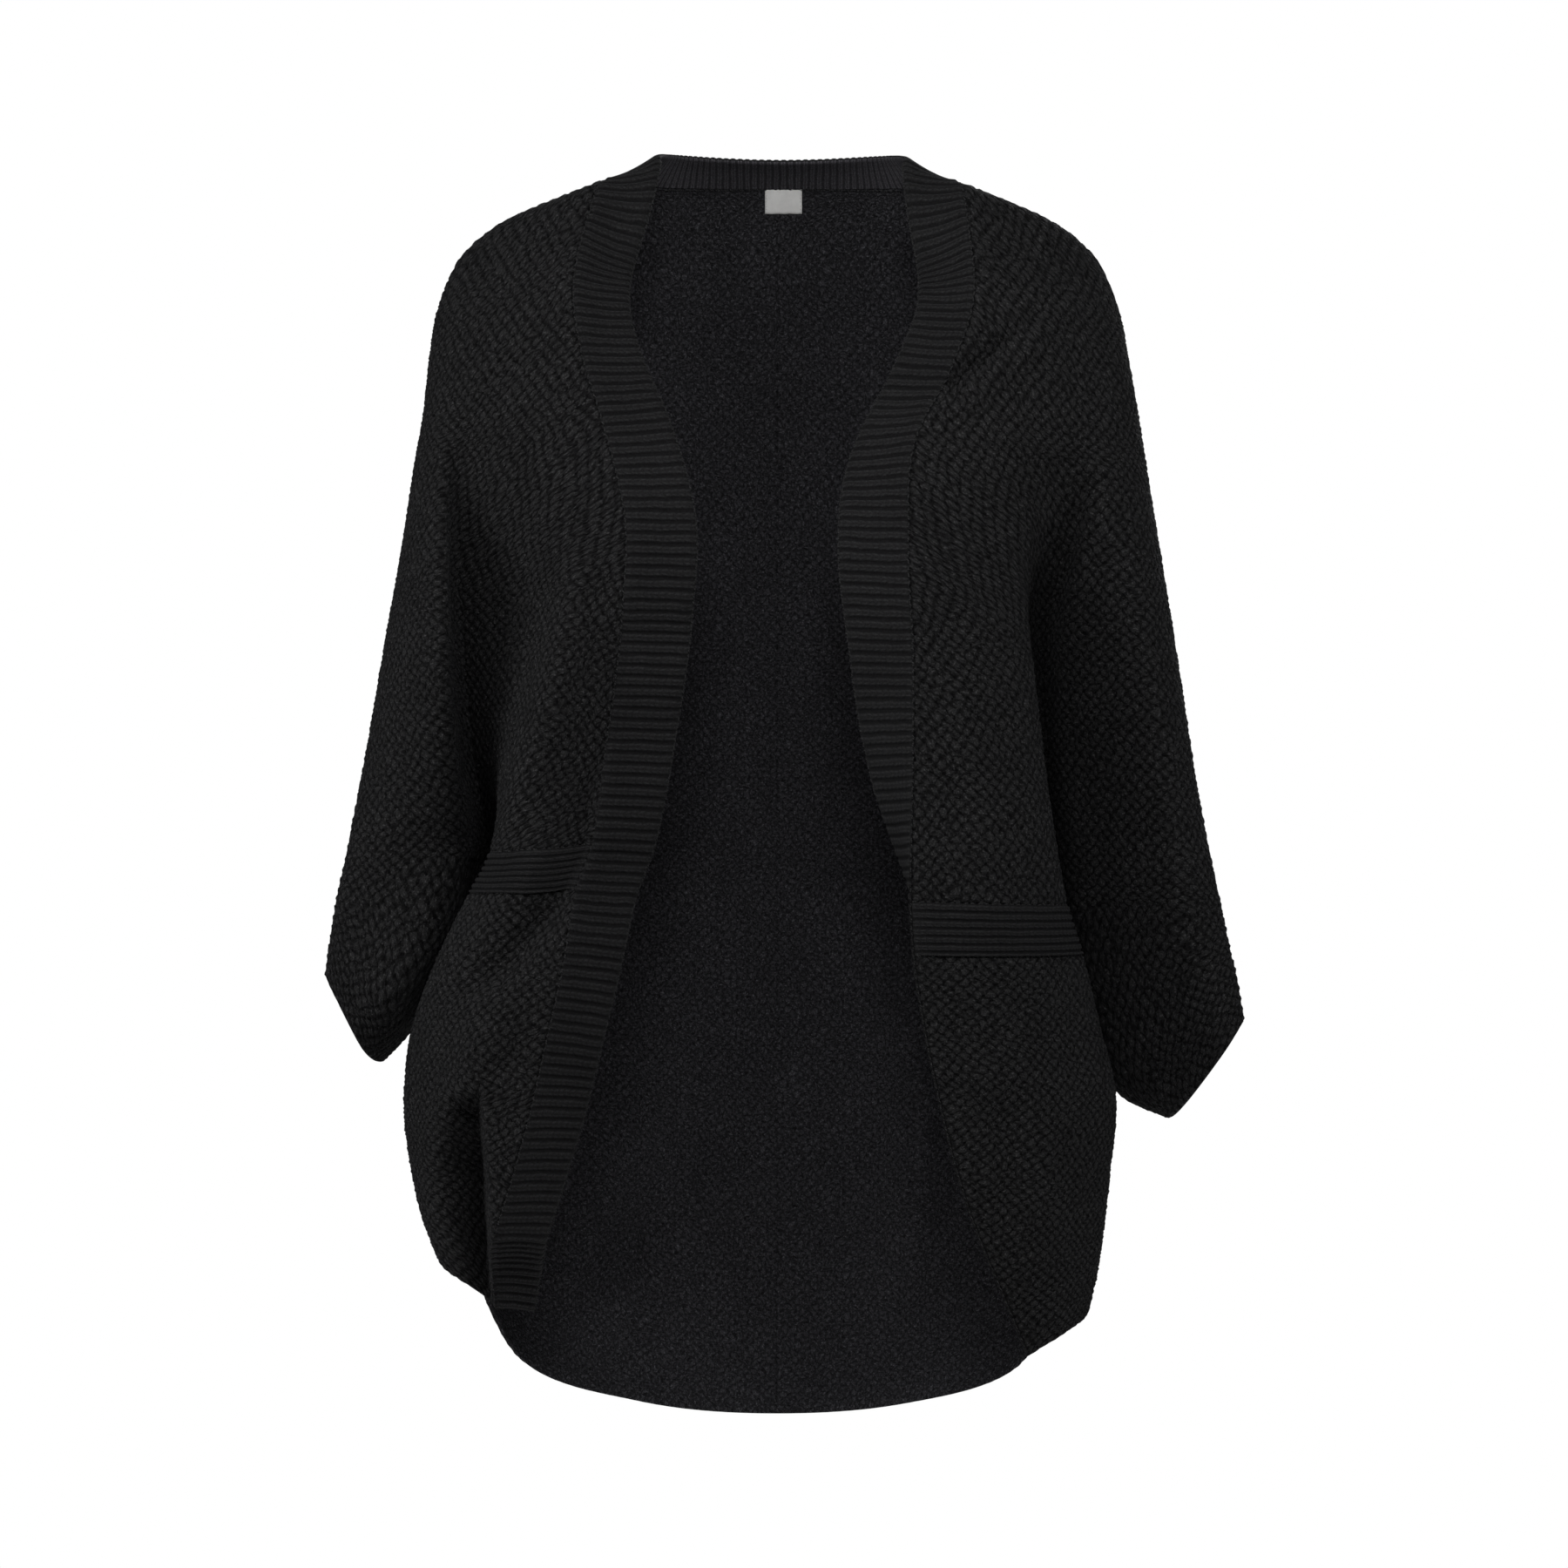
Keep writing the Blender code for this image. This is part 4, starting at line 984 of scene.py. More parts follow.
@dataclass(frozen=True)
class Layer:
    """Lays a stretch of the draft out on the stitch grid."""

    draft: Draft
    gauge: Gauge
    samples: int = 150
    row_nudge: float = 0.004  # steps that normals are taken from
    share_nudge: float = 1e-3
    seam_bulk: Pair = (0.45, 2.6)  # least thickness at a seam, and the fade's reach
    seam_relief: Pair = (-0.5, 3.4)  # where the relief starts and is whole
    edge_bulk: Pair = (0.12, 2.2)  # least thickness at a free edge, and its reach
    edge_relief: Pair = (0.35, 3.0)  # the same for the relief there

    def widths(self, side: Side, stretch: Stretch, rows: Array) -> Array:
        """Length of cloth along each row of a stretch."""
        shares = np.linspace(0, 1, self.samples)
        return arc_length(self.draft.surface(side, stretch, rows, shares))[:, -1]

    def start_of(self, side: Side, stretch: Stretch, rows: Array) -> Array:
        """Cloth from a stretch's own base line to its end, at each row.

        Fronts are counted from the sleeve's outer line, the back from its centre.

        Args:
            side: the wearer's side.
            stretch: which of the four stretches.
            rows: places down the garment.

        Returns:
            One length for each row, in millimetres.
        """
        upper = np.minimum(rows, self.draft.waist_row)
        if stretch is Stretch.BODY_FRONT:
            return self.widths(side, Stretch.SLEEVE_FRONT, upper)
        if stretch is Stretch.SLEEVE_BACK:
            return self.widths(side, Stretch.BODY_BACK, upper)
        return np.zeros(len(rows))

    def normals(self, side: Side, stretch: Stretch, rows: Array, shares: Array) -> Array:
        """Outward directions of a stretch, from small steps on its surface.

        Args:
            side: the wearer's side.
            stretch: which of the four stretches.
            rows: places down the garment.
            shares: places along the row.

        Returns:
            Unit vectors, rows by shares by three.
        """
        def at(r: Array, s: Array) -> Array:
            """Points at other rows and shares."""
            return self.draft.surface(side, stretch, r, s)

        body = stretch in (Stretch.BODY_FRONT, Stretch.BODY_BACK)
        end = self.draft.hem_row if body else self.draft.cuff_row
        below = np.minimum(rows + self.row_nudge, end)
        above = np.maximum(rows - self.row_nudge, 0.0)
        right = np.minimum(shares + self.share_nudge, 1)
        left = np.maximum(shares - self.share_nudge, 0)
        down, along = at(below, shares) - at(above, shares), at(rows, right) - at(rows, left)
        normal = unit(np.cross(down, along)) * side.value
        if stretch is Stretch.BODY_BACK:
            normal[:, -1, 0] = 0.0
        return unit(normal)

    def at_seam(self, side: Side, rows: Array) -> Array:
        """Outward directions of the front along the band's seam."""
        return self.normals(side, Stretch.BODY_FRONT, rows, np.array([0.0, 0.01]))[:, 0]

    def lay(self, side: Side, stretch: Stretch, first: float, last: float,
            edges: tuple[Edge, Edge, Edge, Edge]) -> Patch:
        """Lays the stretch between two rows.

        Args:
            side: the wearer's side.
            stretch: which of the four stretches.
            first: row at the top.
            last: row at the bottom.
            edges: what the top, bottom, share 0 and share 1 edges are.

        Returns:
            The patch, not yet given its thickness.
        """
        gauge, draft = self.gauge, self.draft
        free = [edge is Edge.FREE for edge in edges]
        runs = gauge.marks(float(gauge.run(first)), float(gauge.run(last)), *free[:2])
        rows = gauge.row(runs)
        rows[0], rows[-1] = first, last
        shares = np.linspace(0, 1, self.samples)
        dense = draft.surface(side, stretch, rows, shares)
        facing = self.normals(side, stretch, rows, shares)
        length = arc_length(dense)
        base = -(self.start_of(side, stretch, rows) + length[:, -1])
        lines, places, normals, stitches, distances = [], [], [], [], []
        for k, run in enumerate(runs):
            marks = gauge.marks(base[k], base[k] + length[k, -1], *free[2:])
            along, row = marks - base[k], np.full(len(marks), run)
            lines.append(marks)
            places.append(follow(along, length[k], dense[k]))
            normals.append(follow(along, length[k], facing[k]))
            stitches.append(np.stack([marks, row], axis=1))
            distances.append(np.stack(
                [row - runs[0], runs[-1] - row, along, along[-1] - along], axis=1))
        starts = np.cumsum([0] + [len(line) for line in lines])
        triangles: list[tuple[int, int, int]] = []
        for k in range(len(rows) - 1):
            triangles += zip_lines(lines[k], lines[k + 1], int(starts[k]), int(starts[k + 1]),
                                   gauge.step)
        grid = np.array(triangles)
        if side is Side.RIGHT:
            grid = grid[:, ::-1]
        placed = np.concatenate(stitches) / gauge.repeat
        placed[:, 0] *= -side.value
        bulk, proud = self.fades(np.concatenate(distances), edges)
        return Patch(np.concatenate(places), unit(np.concatenate(normals)), placed, bulk, proud,
                     grid)

    def fades(self, away: Array, edges: tuple[Edge, ...]) -> tuple[Array, Array]:
        """How thickness and relief fade towards the edges.

        Args:
            away: each point's distances from the four edges, in millimetres.
            edges: what each edge is.

        Returns:
            Share of the thickness and share of the relief, at each point.
        """
        bulk, proud = np.ones(len(away)), np.ones(len(away))
        for distance, edge in zip(away.T, edges):
            if edge is Edge.SEAM:
                least, reach = self.seam_bulk
                bulk = np.minimum(bulk, least + (1 - least) * ease(distance, 0.0, reach))
                proud = np.minimum(proud, ease(distance, *self.seam_relief))
            elif edge is Edge.FREE:
                least, reach = self.edge_bulk
                bulk = np.minimum(bulk, least + (1 - least) * rounded(distance, reach))
                least, reach = self.edge_relief
                proud = np.minimum(proud, least + (1 - least) * ease(distance, 0.0, reach))
        return bulk, proud


def placed_object(name: str, data: bpy.types.ID) -> Object:
    """Object in the scene, at the origin.

    Args:
        name: name of the object.
        data: its mesh, light or camera.

    Returns:
        The object.
    """
    obj = bpy.data.objects.new(name, data)
    bpy.context.scene.collection.objects.link(obj)
    return obj


def solid(name: str, middle: Array, out: Array, into: Array,
          triangles: Array, stitches: Array, finish: Material,
          inside: Material | None = None) -> Object:
    """Closed piece of cloth: two faces and a rim.

    Args:
        name: name of the object and its mesh.
        middle: middle surface, in millimetres.
        out: way from there to the outside face.
        into: way from there to the inside face.
        triangles: point numbers, facing out.
        stitches: places on the stitch grid, kept as the piece's UV map.
        finish: the yarn.
        inside: the yarn of the inside face, where it differs there; the inside yarns carry painted
            light that makes them lighter.

    Returns:
        The object, at the origin.
    """
    count = len(middle)
    edges = np.concatenate([triangles[:, [0, 1]], triangles[:, [1, 2]], triangles[:, [2, 0]]])
    start, end = edges.T.astype(np.int64)
    a, b = edges[~np.isin(start * count + end, end * count + start)].T
    faces = np.concatenate([
        triangles, triangles[:, ::-1] + count,
        np.stack([b, a, a + count], axis=1), np.stack([b, a + count, b + count], axis=1),
    ])
    vertices = np.concatenate([middle + out, middle + into]) * MM
    mesh = bpy.data.meshes.new(name)
    mesh.vertices.add(len(vertices))
    mesh.vertices.foreach_set("co", vertices.astype(np.float32).reshape(-1))
    mesh.loops.add(faces.size)
    mesh.loops.foreach_set("vertex_index", faces.astype(np.int32).reshape(-1))
    mesh.polygons.add(len(faces))
    mesh.polygons.foreach_set("loop_start", np.arange(0, faces.size, 3, dtype=np.int32))
    mesh.update(calc_edges=True)
    uv = mesh.uv_layers.new(name=UV_NAME)
    both = np.concatenate([stitches, stitches])
    uv.data.foreach_set("uv", both[faces.reshape(-1)].astype(np.float32).reshape(-1))
    open_rim = np.linalg.norm(out, axis=1)[a] < OPEN_RIM
    smooth_faces = np.concatenate([np.ones(2 * len(triangles), bool), open_rim, open_rim])
    mesh.polygons.foreach_set("use_smooth", smooth_faces)
    mesh.materials.append(finish)
    if inside:
        mesh.materials.append(inside)
        second = np.arange(len(faces)) // len(triangles) == 1
        mesh.polygons.foreach_set("material_index", second.astype(np.int32))
    mesh.validate()
    return placed_object(name, mesh)


def grid_solid(name: str, middle: Array, facing: Array, out: Array,
               into: Array, stitches: Sequence[Array], finish: Material,
               inside: Material | None = None) -> Object:
    """Closed piece of cloth on an even grid of points.

    Args:
        name: name of the object and its mesh.
        middle: middle surface, in millimetres, on two axes.
        facing: outward direction at each point.
        out: distance from the middle to the outside face.
        into: distance to the inside face.
        stitches: the two coordinates of the UV map.
        finish: the yarn.
        inside: the yarn of the inside face, where it differs there; the inside yarns carry painted
            light that makes them lighter.

    Returns:
        The object, at the origin.
    """
    index = np.arange(middle[..., 0].size).reshape(middle.shape[:2])
    a, b, c, d = index[:-1, :-1], index[1:, :-1], index[1:, 1:], index[:-1, 1:]
    triangles = np.concatenate(
        [np.stack(corners, axis=-1).reshape(-1, 3) for corners in ((a, b, c), (a, c, d))])
    if np.cross(middle[1, 0] - middle[0, 0], middle[0, 1] - middle[0, 0]) @ facing[0, 0] < 0:
        triangles = triangles[:, ::-1]
    uv = np.stack(np.broadcast_arrays(*stitches), axis=-1).reshape(-1, 2)
    ways = ((facing * out[..., None]).reshape(-1, 3), -(facing * into[..., None]).reshape(-1, 3))
    return solid(name, middle.reshape(-1, 3), *ways, triangles, uv, finish, inside)


# -------------------- materials
class Nodes:
    """Short way to write a node tree."""

    def __init__(self, tree: bpy.types.NodeTree) -> None:
        """Starts from a tree."""
        self.tree = tree

    def node(self, kind: str, inputs: dict[Any, Any] | None = None,
             **settings: Any) -> bpy.types.Node:
        """New node.

        Args:
            kind: the node's type name.
            inputs: values or sockets by input name or number.
            **settings: attributes of the node.

        Returns:
            The node.
        """
        made = self.tree.nodes.new(kind)
        for key, value in settings.items():
            setattr(made, key, value)
        return self.give(made, inputs or {})

    def give(self, node: bpy.types.Node, inputs: dict[Any, Any]) -> bpy.types.Node:
        """Links or sets a node's inputs, and gives the node back."""
        for key, value in inputs.items():
            if isinstance(value, Socket):
                self.tree.links.new(value, node.inputs[key])
            else:
                node.inputs[key].default_value = value
        return node


class Wires(Nodes):
    """The nodes of a new material."""

    def __init__(self, name: str, shader: dict[str, Any]) -> None:
        """Starts from the material's own shader.

        Args:
            name: name of the material.
            shader: values for the shader's own sockets.
        """
        self.material = bpy.data.materials.new(name)
        self.material.use_nodes = True
        super().__init__(self.material.node_tree)
        self.shader = self.give(self.tree.nodes["Principled BSDF"], shader)

    def spot(self) -> Socket:
        """Object coordinates."""
        return self.node("ShaderNodeTexCoord").outputs["Object"]

    def split(self, vector: Socket) -> Sequence[Socket]:
        """The three parts of a vector."""
        return self.node("ShaderNodeSeparateXYZ", {0: vector}).outputs

    def maths(self, operation: str, *values: Any) -> Socket:
        """Result of a Math node."""
        return self.node("ShaderNodeMath", dict(enumerate(values)), operation=operation).outputs[0]

    def times(self, a: Any, b: Any) -> Socket:
        """Product of two values."""
        return self.maths("MULTIPLY", a, b)

    def total(self, start: Any, *parts: tuple[Any, Any]) -> Socket:
        """Sum of a value and of others, each with its factor."""
        for value, factor in parts:
            start = self.maths("MULTIPLY_ADD", value, factor, start)
        return start

    def fit(self, value: Any, low: float, high: float, to_low: float = 0.0,
            to_high: float = 1.0) -> Socket:
        """Value moved smoothly from one range to another."""
        made = self.node("ShaderNodeMapRange", {0: value, 1: low, 2: high, 3: to_low, 4: to_high},
                         interpolation_type="SMOOTHSTEP")
        return made.outputs[0]

    def wave(self, value: Any) -> Socket:
        """Cosine of a value counted in whole turns."""
        return self.maths("COSINE", self.times(value, 2 * math.pi))

    def noise(self, where: Socket, scale: float, detail: float = 2.0,
              output: str | int = 0) -> Socket:
        """Noise from 0 to 1, as one number or as a colour."""
        made = self.node("ShaderNodeTexNoise", {"Vector": where, "Scale": scale, "Detail": detail})
        return made.outputs[output]

    def cells(self, where: Socket, scale: float, uneven: float) -> Socket:
        """Distance from the edge of cells that lie side by side in a plane."""
        made = self.node("ShaderNodeTexVoronoi", voronoi_dimensions="2D",
                         feature="DISTANCE_TO_EDGE")
        inputs = {"Vector": where, "Scale": scale, "Randomness": uneven}
        return self.give(made, inputs).outputs["Distance"]

    def finish(self, colour: Any, shade: Socket, height: Socket) -> Material:
        """Gives the shader its colour and its bump.

        Args:
            colour: base colour.
            shade: factor on it.
            height: relief in metres.

        Returns:
            The material.
        """
        tinted = self.node("ShaderNodeVectorMath", {0: colour, "Scale": shade}, operation="SCALE")
        bump = self.node("ShaderNodeBump", {"Height": height, "Distance": 1.0, "Strength": 1.0})
        self.give(self.shader, {"Base Color": tinted.outputs[0], "Normal": bump.outputs[0]})
        return self.material


@dataclass(frozen=True)
class Yarn:
    """Black chunky yarn, one knitted pattern of it, with painted shade between the stitches."""

    name: str
    hollow: Triple  # painted shade: colour between the stitches, where shade falls
    crown: Triple  # colour on top of them, where the painted shade is least
    roughness: float = 0.82
    specular: float = 0.03
    sheen: float = 0.02
    sheen_roughness: float = 0.45
    sheen_tint: Triple = (0.75, 0.77, 0.82)
    patch_scale: float = 22.0  # cloudy patches of lighter and darker yarn
    patch_levels: Pair = (0.25, 0.75)
    patch_shades: Pair = (0.92, 1.08)
    fibre_scale: float = 1300.0
    fibre_levels: Pair = (0.3, 0.75)
    fibre_shades: Pair = (0.62, 1.42)

    def begin(self) -> tuple[Wires, Socket]:
        """Nodes with what every yarn has on its shader, and Object coordinates."""
        wires = Wires(self.name, {
            "Roughness": self.roughness, "Specular IOR Level": self.specular,
            "Sheen Weight": self.sheen, "Sheen Roughness": self.sheen_roughness,
            "Sheen Tint": (*self.sheen_tint, 1.0)})
        return wires, wires.spot()

    def end(self, wires: Wires, height: Socket, crown: Socket, spot: Socket) -> Material:
        """Colour, with painted shade from the hollows to the crowns, and bump.

        Args:
            wires: the material's nodes.
            height: relief in metres.
            crown: painted shade, 0 between the stitches, 1 on top, and above 1 where painted light
                is added.
            spot: Object coordinates.

        Returns:
            The material.
        """
        patches = wires.noise(spot, self.patch_scale, 3.0)
        fibres = wires.noise(spot, self.fibre_scale)
        shade = wires.times(wires.fit(patches, *self.patch_levels, *self.patch_shades),
                            wires.fit(fibres, *self.fibre_levels, *self.fibre_shades))
        colour = wires.node(
            "ShaderNodeMix", {0: crown, 6: (*self.hollow, 1.0), 7: (*self.crown, 1.0)},
            data_type="RGBA", clamp_factor=False)
        return wires.finish(colour.outputs[2], shade, height)


@dataclass(frozen=True)
class MossYarn(Yarn):
    """Moss stitch: knots in staggered rows with ragged gaps, on the piece's own stitch grid.

    Heights are in millimetres, and scales count in repeats of the stitch.
    """

    size: float = 1.0  # knots to each diagonal of the stitch grid
    uneven: float = 0.5  # how much they differ in size
    pull: float = 0.15  # how far a knot may be off its place
    pull_scale: float = 2.1
    pull_levels: Pair = (0.2, 0.8)
    knot: float = 0.60  # height of a knot in the bump
    dome: float = 0.45  # from a knot's edge to its full height, in knots
    lump: float = 0.50  # height of the yarn's own lumps
    lump_scale: float = 4.0
    lump_levels: Pair = (0.25, 0.75)
    lump_share: float = 0.3  # of the lumps' height, in the relief and in the glints
    ragged: float = 0.13  # share of the lumps in where the gaps lie
    ragged_gap: float = 0.35  # the same for the dots at the grid's low points
    fluff: float = 0.36
    fluff_scale: float = 900.0
    gap: float = 0.86  # painted shade: how dark a gap between knots is made
    gap_levels: Pair = (-0.30, -1.05)
    gap_depth: float = 0.5  # share of a knot's height
    crack: float = 0.66  # how far the lines between two gaps sink, and how dark their painted shade is, beside the gaps
    gap_width: float = 0.20  # from the middle of a gap to a knot's top, in knots
    edge_tone: float = 0.66  # painted shade at a knot's edge
    top_tone: float = 0.92  # and on its top
    glint: float = 1.35  # painted highlight: how much lighter the strands on top of the knots are made
    strand_scale: float = 6.4
    strand_levels: Pair = (0.52, 0.70)
    strand_reach: Pair = (0.05, 0.3)  # from a knot's edge to full strands, in knots

    def make(self) -> Material:
        """Builds the material."""
        wires, spot = self.begin()
        stitches = wires.node("ShaderNodeUVMap", uv_map=UV_NAME).outputs[0]
        grid = wires.split(stitches)
        pulls = wires.split(wires.noise(stitches, self.pull_scale, output="Color"))
        u, v = (wires.maths("ADD", grid[k], wires.fit(pulls[k], *self.pull_levels, -self.pull,
                                              self.pull)) for k in (0, 1))
        middle = wires.maths("ADD", u, self.uneven / 2)
        knots = wires.node("ShaderNodeCombineXYZ", {0: wires.maths("ADD", middle, v),
                                                    1: wires.maths("SUBTRACT", middle, v)})
        edge = wires.cells(knots.outputs[0], self.size, self.uneven)
        lumps = wires.fit(wires.noise(stitches, self.lump_scale), *self.lump_levels, -1.0, 1.0)
        cloth = wires.total(edge, (lumps, self.ragged))
        lattice = wires.total(wires.times(wires.wave(u), wires.wave(v)), (lumps, self.ragged_gap))
        cracks = wires.times(wires.fit(cloth, self.gap_width, 0.0), self.crack)
        depth = wires.maths("MAXIMUM", cracks, wires.fit(lattice, *self.gap_levels))
        dome = wires.fit(cloth, 0.0, self.dome)
        strands = wires.fit(wires.noise(stitches, self.strand_scale, 1.0), *self.strand_levels)
        glint = wires.times(strands, wires.fit(cloth, *self.strand_reach))
        fluff = wires.noise(spot, self.fluff_scale)
        height = wires.total(
            wires.times(dome, self.knot * MM), (depth, -self.knot * self.gap_depth * MM),
            (lumps, self.lump * self.lump_share * MM),
            (glint, self.lump * self.lump_share * MM), (fluff, self.fluff * MM))
        # painted shade: knots darker at their edges and in the gaps, lighter on top, with painted
        # highlights on the strands
        painted_shade = wires.times(wires.fit(cloth, 0.0, self.dome, self.edge_tone, self.top_tone),
                           wires.total(1.0, (depth, -self.gap)))
        return self.end(wires, height, wires.total(painted_shade, (glint, self.glint)), spot)


@dataclass(frozen=True)
class RibYarn(Yarn):
    """Ribbing: broad columns of knit stitches with narrow hollows between them.

    The piece's UV map counts stitches along a rib in U and ribs in V. Heights are in
    millimetres, and places across a rib run from 0 in its middle to 0.5 in the hollow.
    """

    rib: float = 0.25  # height of the rib in the bump
    rib_sides: Pair = (0.41, 0.20)  # where it leaves the hollow, and is full
    leg: float = 0.30  # height of a stitch's two legs
    leg_levels: Pair = (-0.9, 0.4)
    centre: Pair = (0.04, 0.20)  # from the rib's middle line to the legs
    centre_level: float = 0.30
    slant: float = 2.0  # how far the legs lie over, in stitches to a rib
    ply: float = 0.035
    plies: float = 4.0  # to a stitch
    fluff: float = 0.28
    fluff_scale: float = 800.0
    sway: float = 0.06  # how far a rib strays, in ribs
    sway_scale: float = 90.0
    sway_levels: Pair = (0.2, 0.8)
    leg_tones: Pair = (0.62, 1.0)
    leg_top: float = 0.8  # where a leg has its least painted shade
    centre_tone: float = 0.42  # painted shade on a rib's middle line, before the legs add their light
    centre_gain: float = 0.8

    def make(self) -> Material:
        """Builds the material."""
        wires, spot = self.begin()
        u, v, _ = wires.split(wires.node("ShaderNodeUVMap", uv_map=UV_NAME).outputs[0])
        sway = wires.fit(wires.noise(spot, self.sway_scale, 1.0), *self.sway_levels,
                         -self.sway, self.sway)
        turned = wires.maths("ADD", wires.maths("ADD", v, 0.5), sway)
        away = wires.maths("ABSOLUTE", wires.maths("SUBTRACT", wires.maths("FRACT", turned), 0.5))
        crown = wires.fit(away, *self.rib_sides)
        slant = wires.maths("SUBTRACT", u, wires.times(away, self.slant))
        legs = wires.fit(wires.wave(slant), *self.leg_levels)
        centre = wires.fit(away, *self.centre, self.centre_level, 1.0)
        stitch = wires.times(wires.times(legs, centre), crown)
        plies = wires.wave(wires.times(slant, self.plies))
        fluff = wires.noise(spot, self.fluff_scale, 3.0)
        height = wires.total(wires.times(stitch, self.leg * MM), (crown, self.rib * MM),
                             (plies, self.ply * MM), (fluff, self.fluff * MM))
        # painted shade: dark in the hollows between ribs and along each rib's middle line, lighter
        # on the legs
        legs = wires.fit(stitch, 0.0, self.leg_top, *self.leg_tones)
        painted_shade = wires.times(wires.times(crown, legs),
                           wires.total(self.centre_tone, (centre, self.centre_gain)))
        return self.end(wires, height, painted_shade, spot)


@dataclass(frozen=True)
class SeamYarn(Yarn):
    """Plain twisted yarn of the linking stitches, with painted shade in the grooves of its twist.
    """

    twist: float = 0.12  # height of the twist, in millimetres
    twist_scale: float = 420.0
    twist_distortion: float = 1.5
    twist_levels: Pair = (0.1, 0.9)

    def make(self) -> Material:
        """Builds the material."""
        wires, spot = self.begin()
        twist = wires.node("ShaderNodeTexWave", {
            "Vector": spot, "Scale": self.twist_scale, "Distortion": self.twist_distortion},
            bands_direction="DIAGONAL").outputs[1]
        height = wires.times(twist, self.twist * MM)
        # painted shade: darker where the twist dips, lighter on its ridges
        return self.end(wires, height, wires.fit(twist, *self.twist_levels), spot)


@dataclass(frozen=True)
class LabelWeave:
    """White woven label, with nothing on it."""

    name: str = "woven_label"
    colour: Triple = (0.78, 0.775, 0.76)
    roughness: float = 0.5
    sheen: float = 0.2
    threads: float = 3400.0  # warp threads to a metre
    weft: float = 0.8  # weft threads to each of them
    thread: float = 0.04  # height of a thread, in millimetres
    # painted shade where the threads dip under each other
    thread_shades: Pair = (0.86, 1.0)
    cloud_scale: float = 160.0
    cloud_levels: Pair = (0.3, 0.7)
    cloud_shades: Pair = (0.93, 1.03)

    def make(self) -> Material:
        """Builds the material."""
        wires = Wires(self.name, {"Roughness": self.roughness, "Sheen Weight": self.sheen})
        spot = wires.spot()
        x, _, z = wires.split(spot)
        warp = wires.wave(wires.times(x, self.threads))
        weave = wires.times(warp, wires.wave(wires.times(z, self.threads * self.weft)))
        clouds = wires.noise(spot, self.cloud_scale, 3.0)
        shade = wires.times(wires.fit(weave, -1.0, 1.0, *self.thread_shades),
                            wires.fit(clouds, *self.cloud_levels, *self.cloud_shades))
        return wires.finish(self.colour, shade, wires.times(weave, self.thread * MM))


@dataclass(frozen=True)
class PaleFloor:
    """Plain pale studio floor."""

    name: str = "studio_floor"
    colour: Triple = (0.86, 0.86, 0.86)
    roughness: float = 0.9

    def make(self) -> Material:
        """Builds the material."""
        values = {"Base Color": (*self.colour, 1.0), "Roughness": self.roughness}
        return Wires(self.name, values).material


@dataclass(frozen=True)
class Finishes:
    """Every material of the garment, made once."""

    moss: Material
    purl: Material
    rib: Material
    neck_rib: Material
    seam: Material
    thread: Material
    label: Material
    floor: Material

    @staticmethod
    def make() -> "Finishes":
        """Builds them."""
        yarns = (
            MossYarn("moss_stitch_yarn", (0.0010, 0.0010, 0.0011), (0.0182, 0.0181, 0.0186)),
            # painted light: the inside face's yarn is about twice as light as the outside's,
            # standing in for light the inside lacks; its knot pattern and tint are its own
            MossYarn("moss_purl_side_yarn", (0.0030, 0.0030, 0.0033), (0.0365, 0.0360, 0.0400),
                     gap=0.66, glint=1.3, lump_scale=5.6, strand_scale=8.0, size=1.4, uneven=0.6,
                     ragged=0.18, pull=0.17),
            RibYarn("rib_yarn", (0.0074, 0.0074, 0.0077), (0.0175, 0.0175, 0.0180)),
            # painted light: the neckband's inside face, which the lamps hardly reach, gets yarn
            # about three times as light as the rib yarn
            RibYarn("neck_rib_yarn", (0.0240, 0.0231, 0.0257), (0.0560, 0.0538, 0.0600)),
            SeamYarn("linking_yarn", (0.0070, 0.0070, 0.0073), (0.0340, 0.0340, 0.0348)),
            SeamYarn("label_thread", (0.42, 0.42, 0.41), (0.72, 0.72, 0.70)),
        )
        return Finishes(*(finish.make() for finish in (*yarns, LabelWeave(), PaleFloor())))


# -------------------- pieces
@dataclass(frozen=True)
class Cut:
    """Flat cut of a piece of cloth: width and length of its rectangle, and its area."""

    width: float
    length: float
    area: float | None = None


def dress(piece: Object, nodes: Sequence[str]) -> None:
    """Rides a finished piece on the root body and hides the CAD nodes it stands for.

    Args:
        piece: the finished object.
        nodes: CAD nodes that it stands for.
    """
    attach(piece, "root")
    if nodes:
        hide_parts(*nodes)
    log.info("%s: %d faces", piece.name, len(piece.data.polygons))


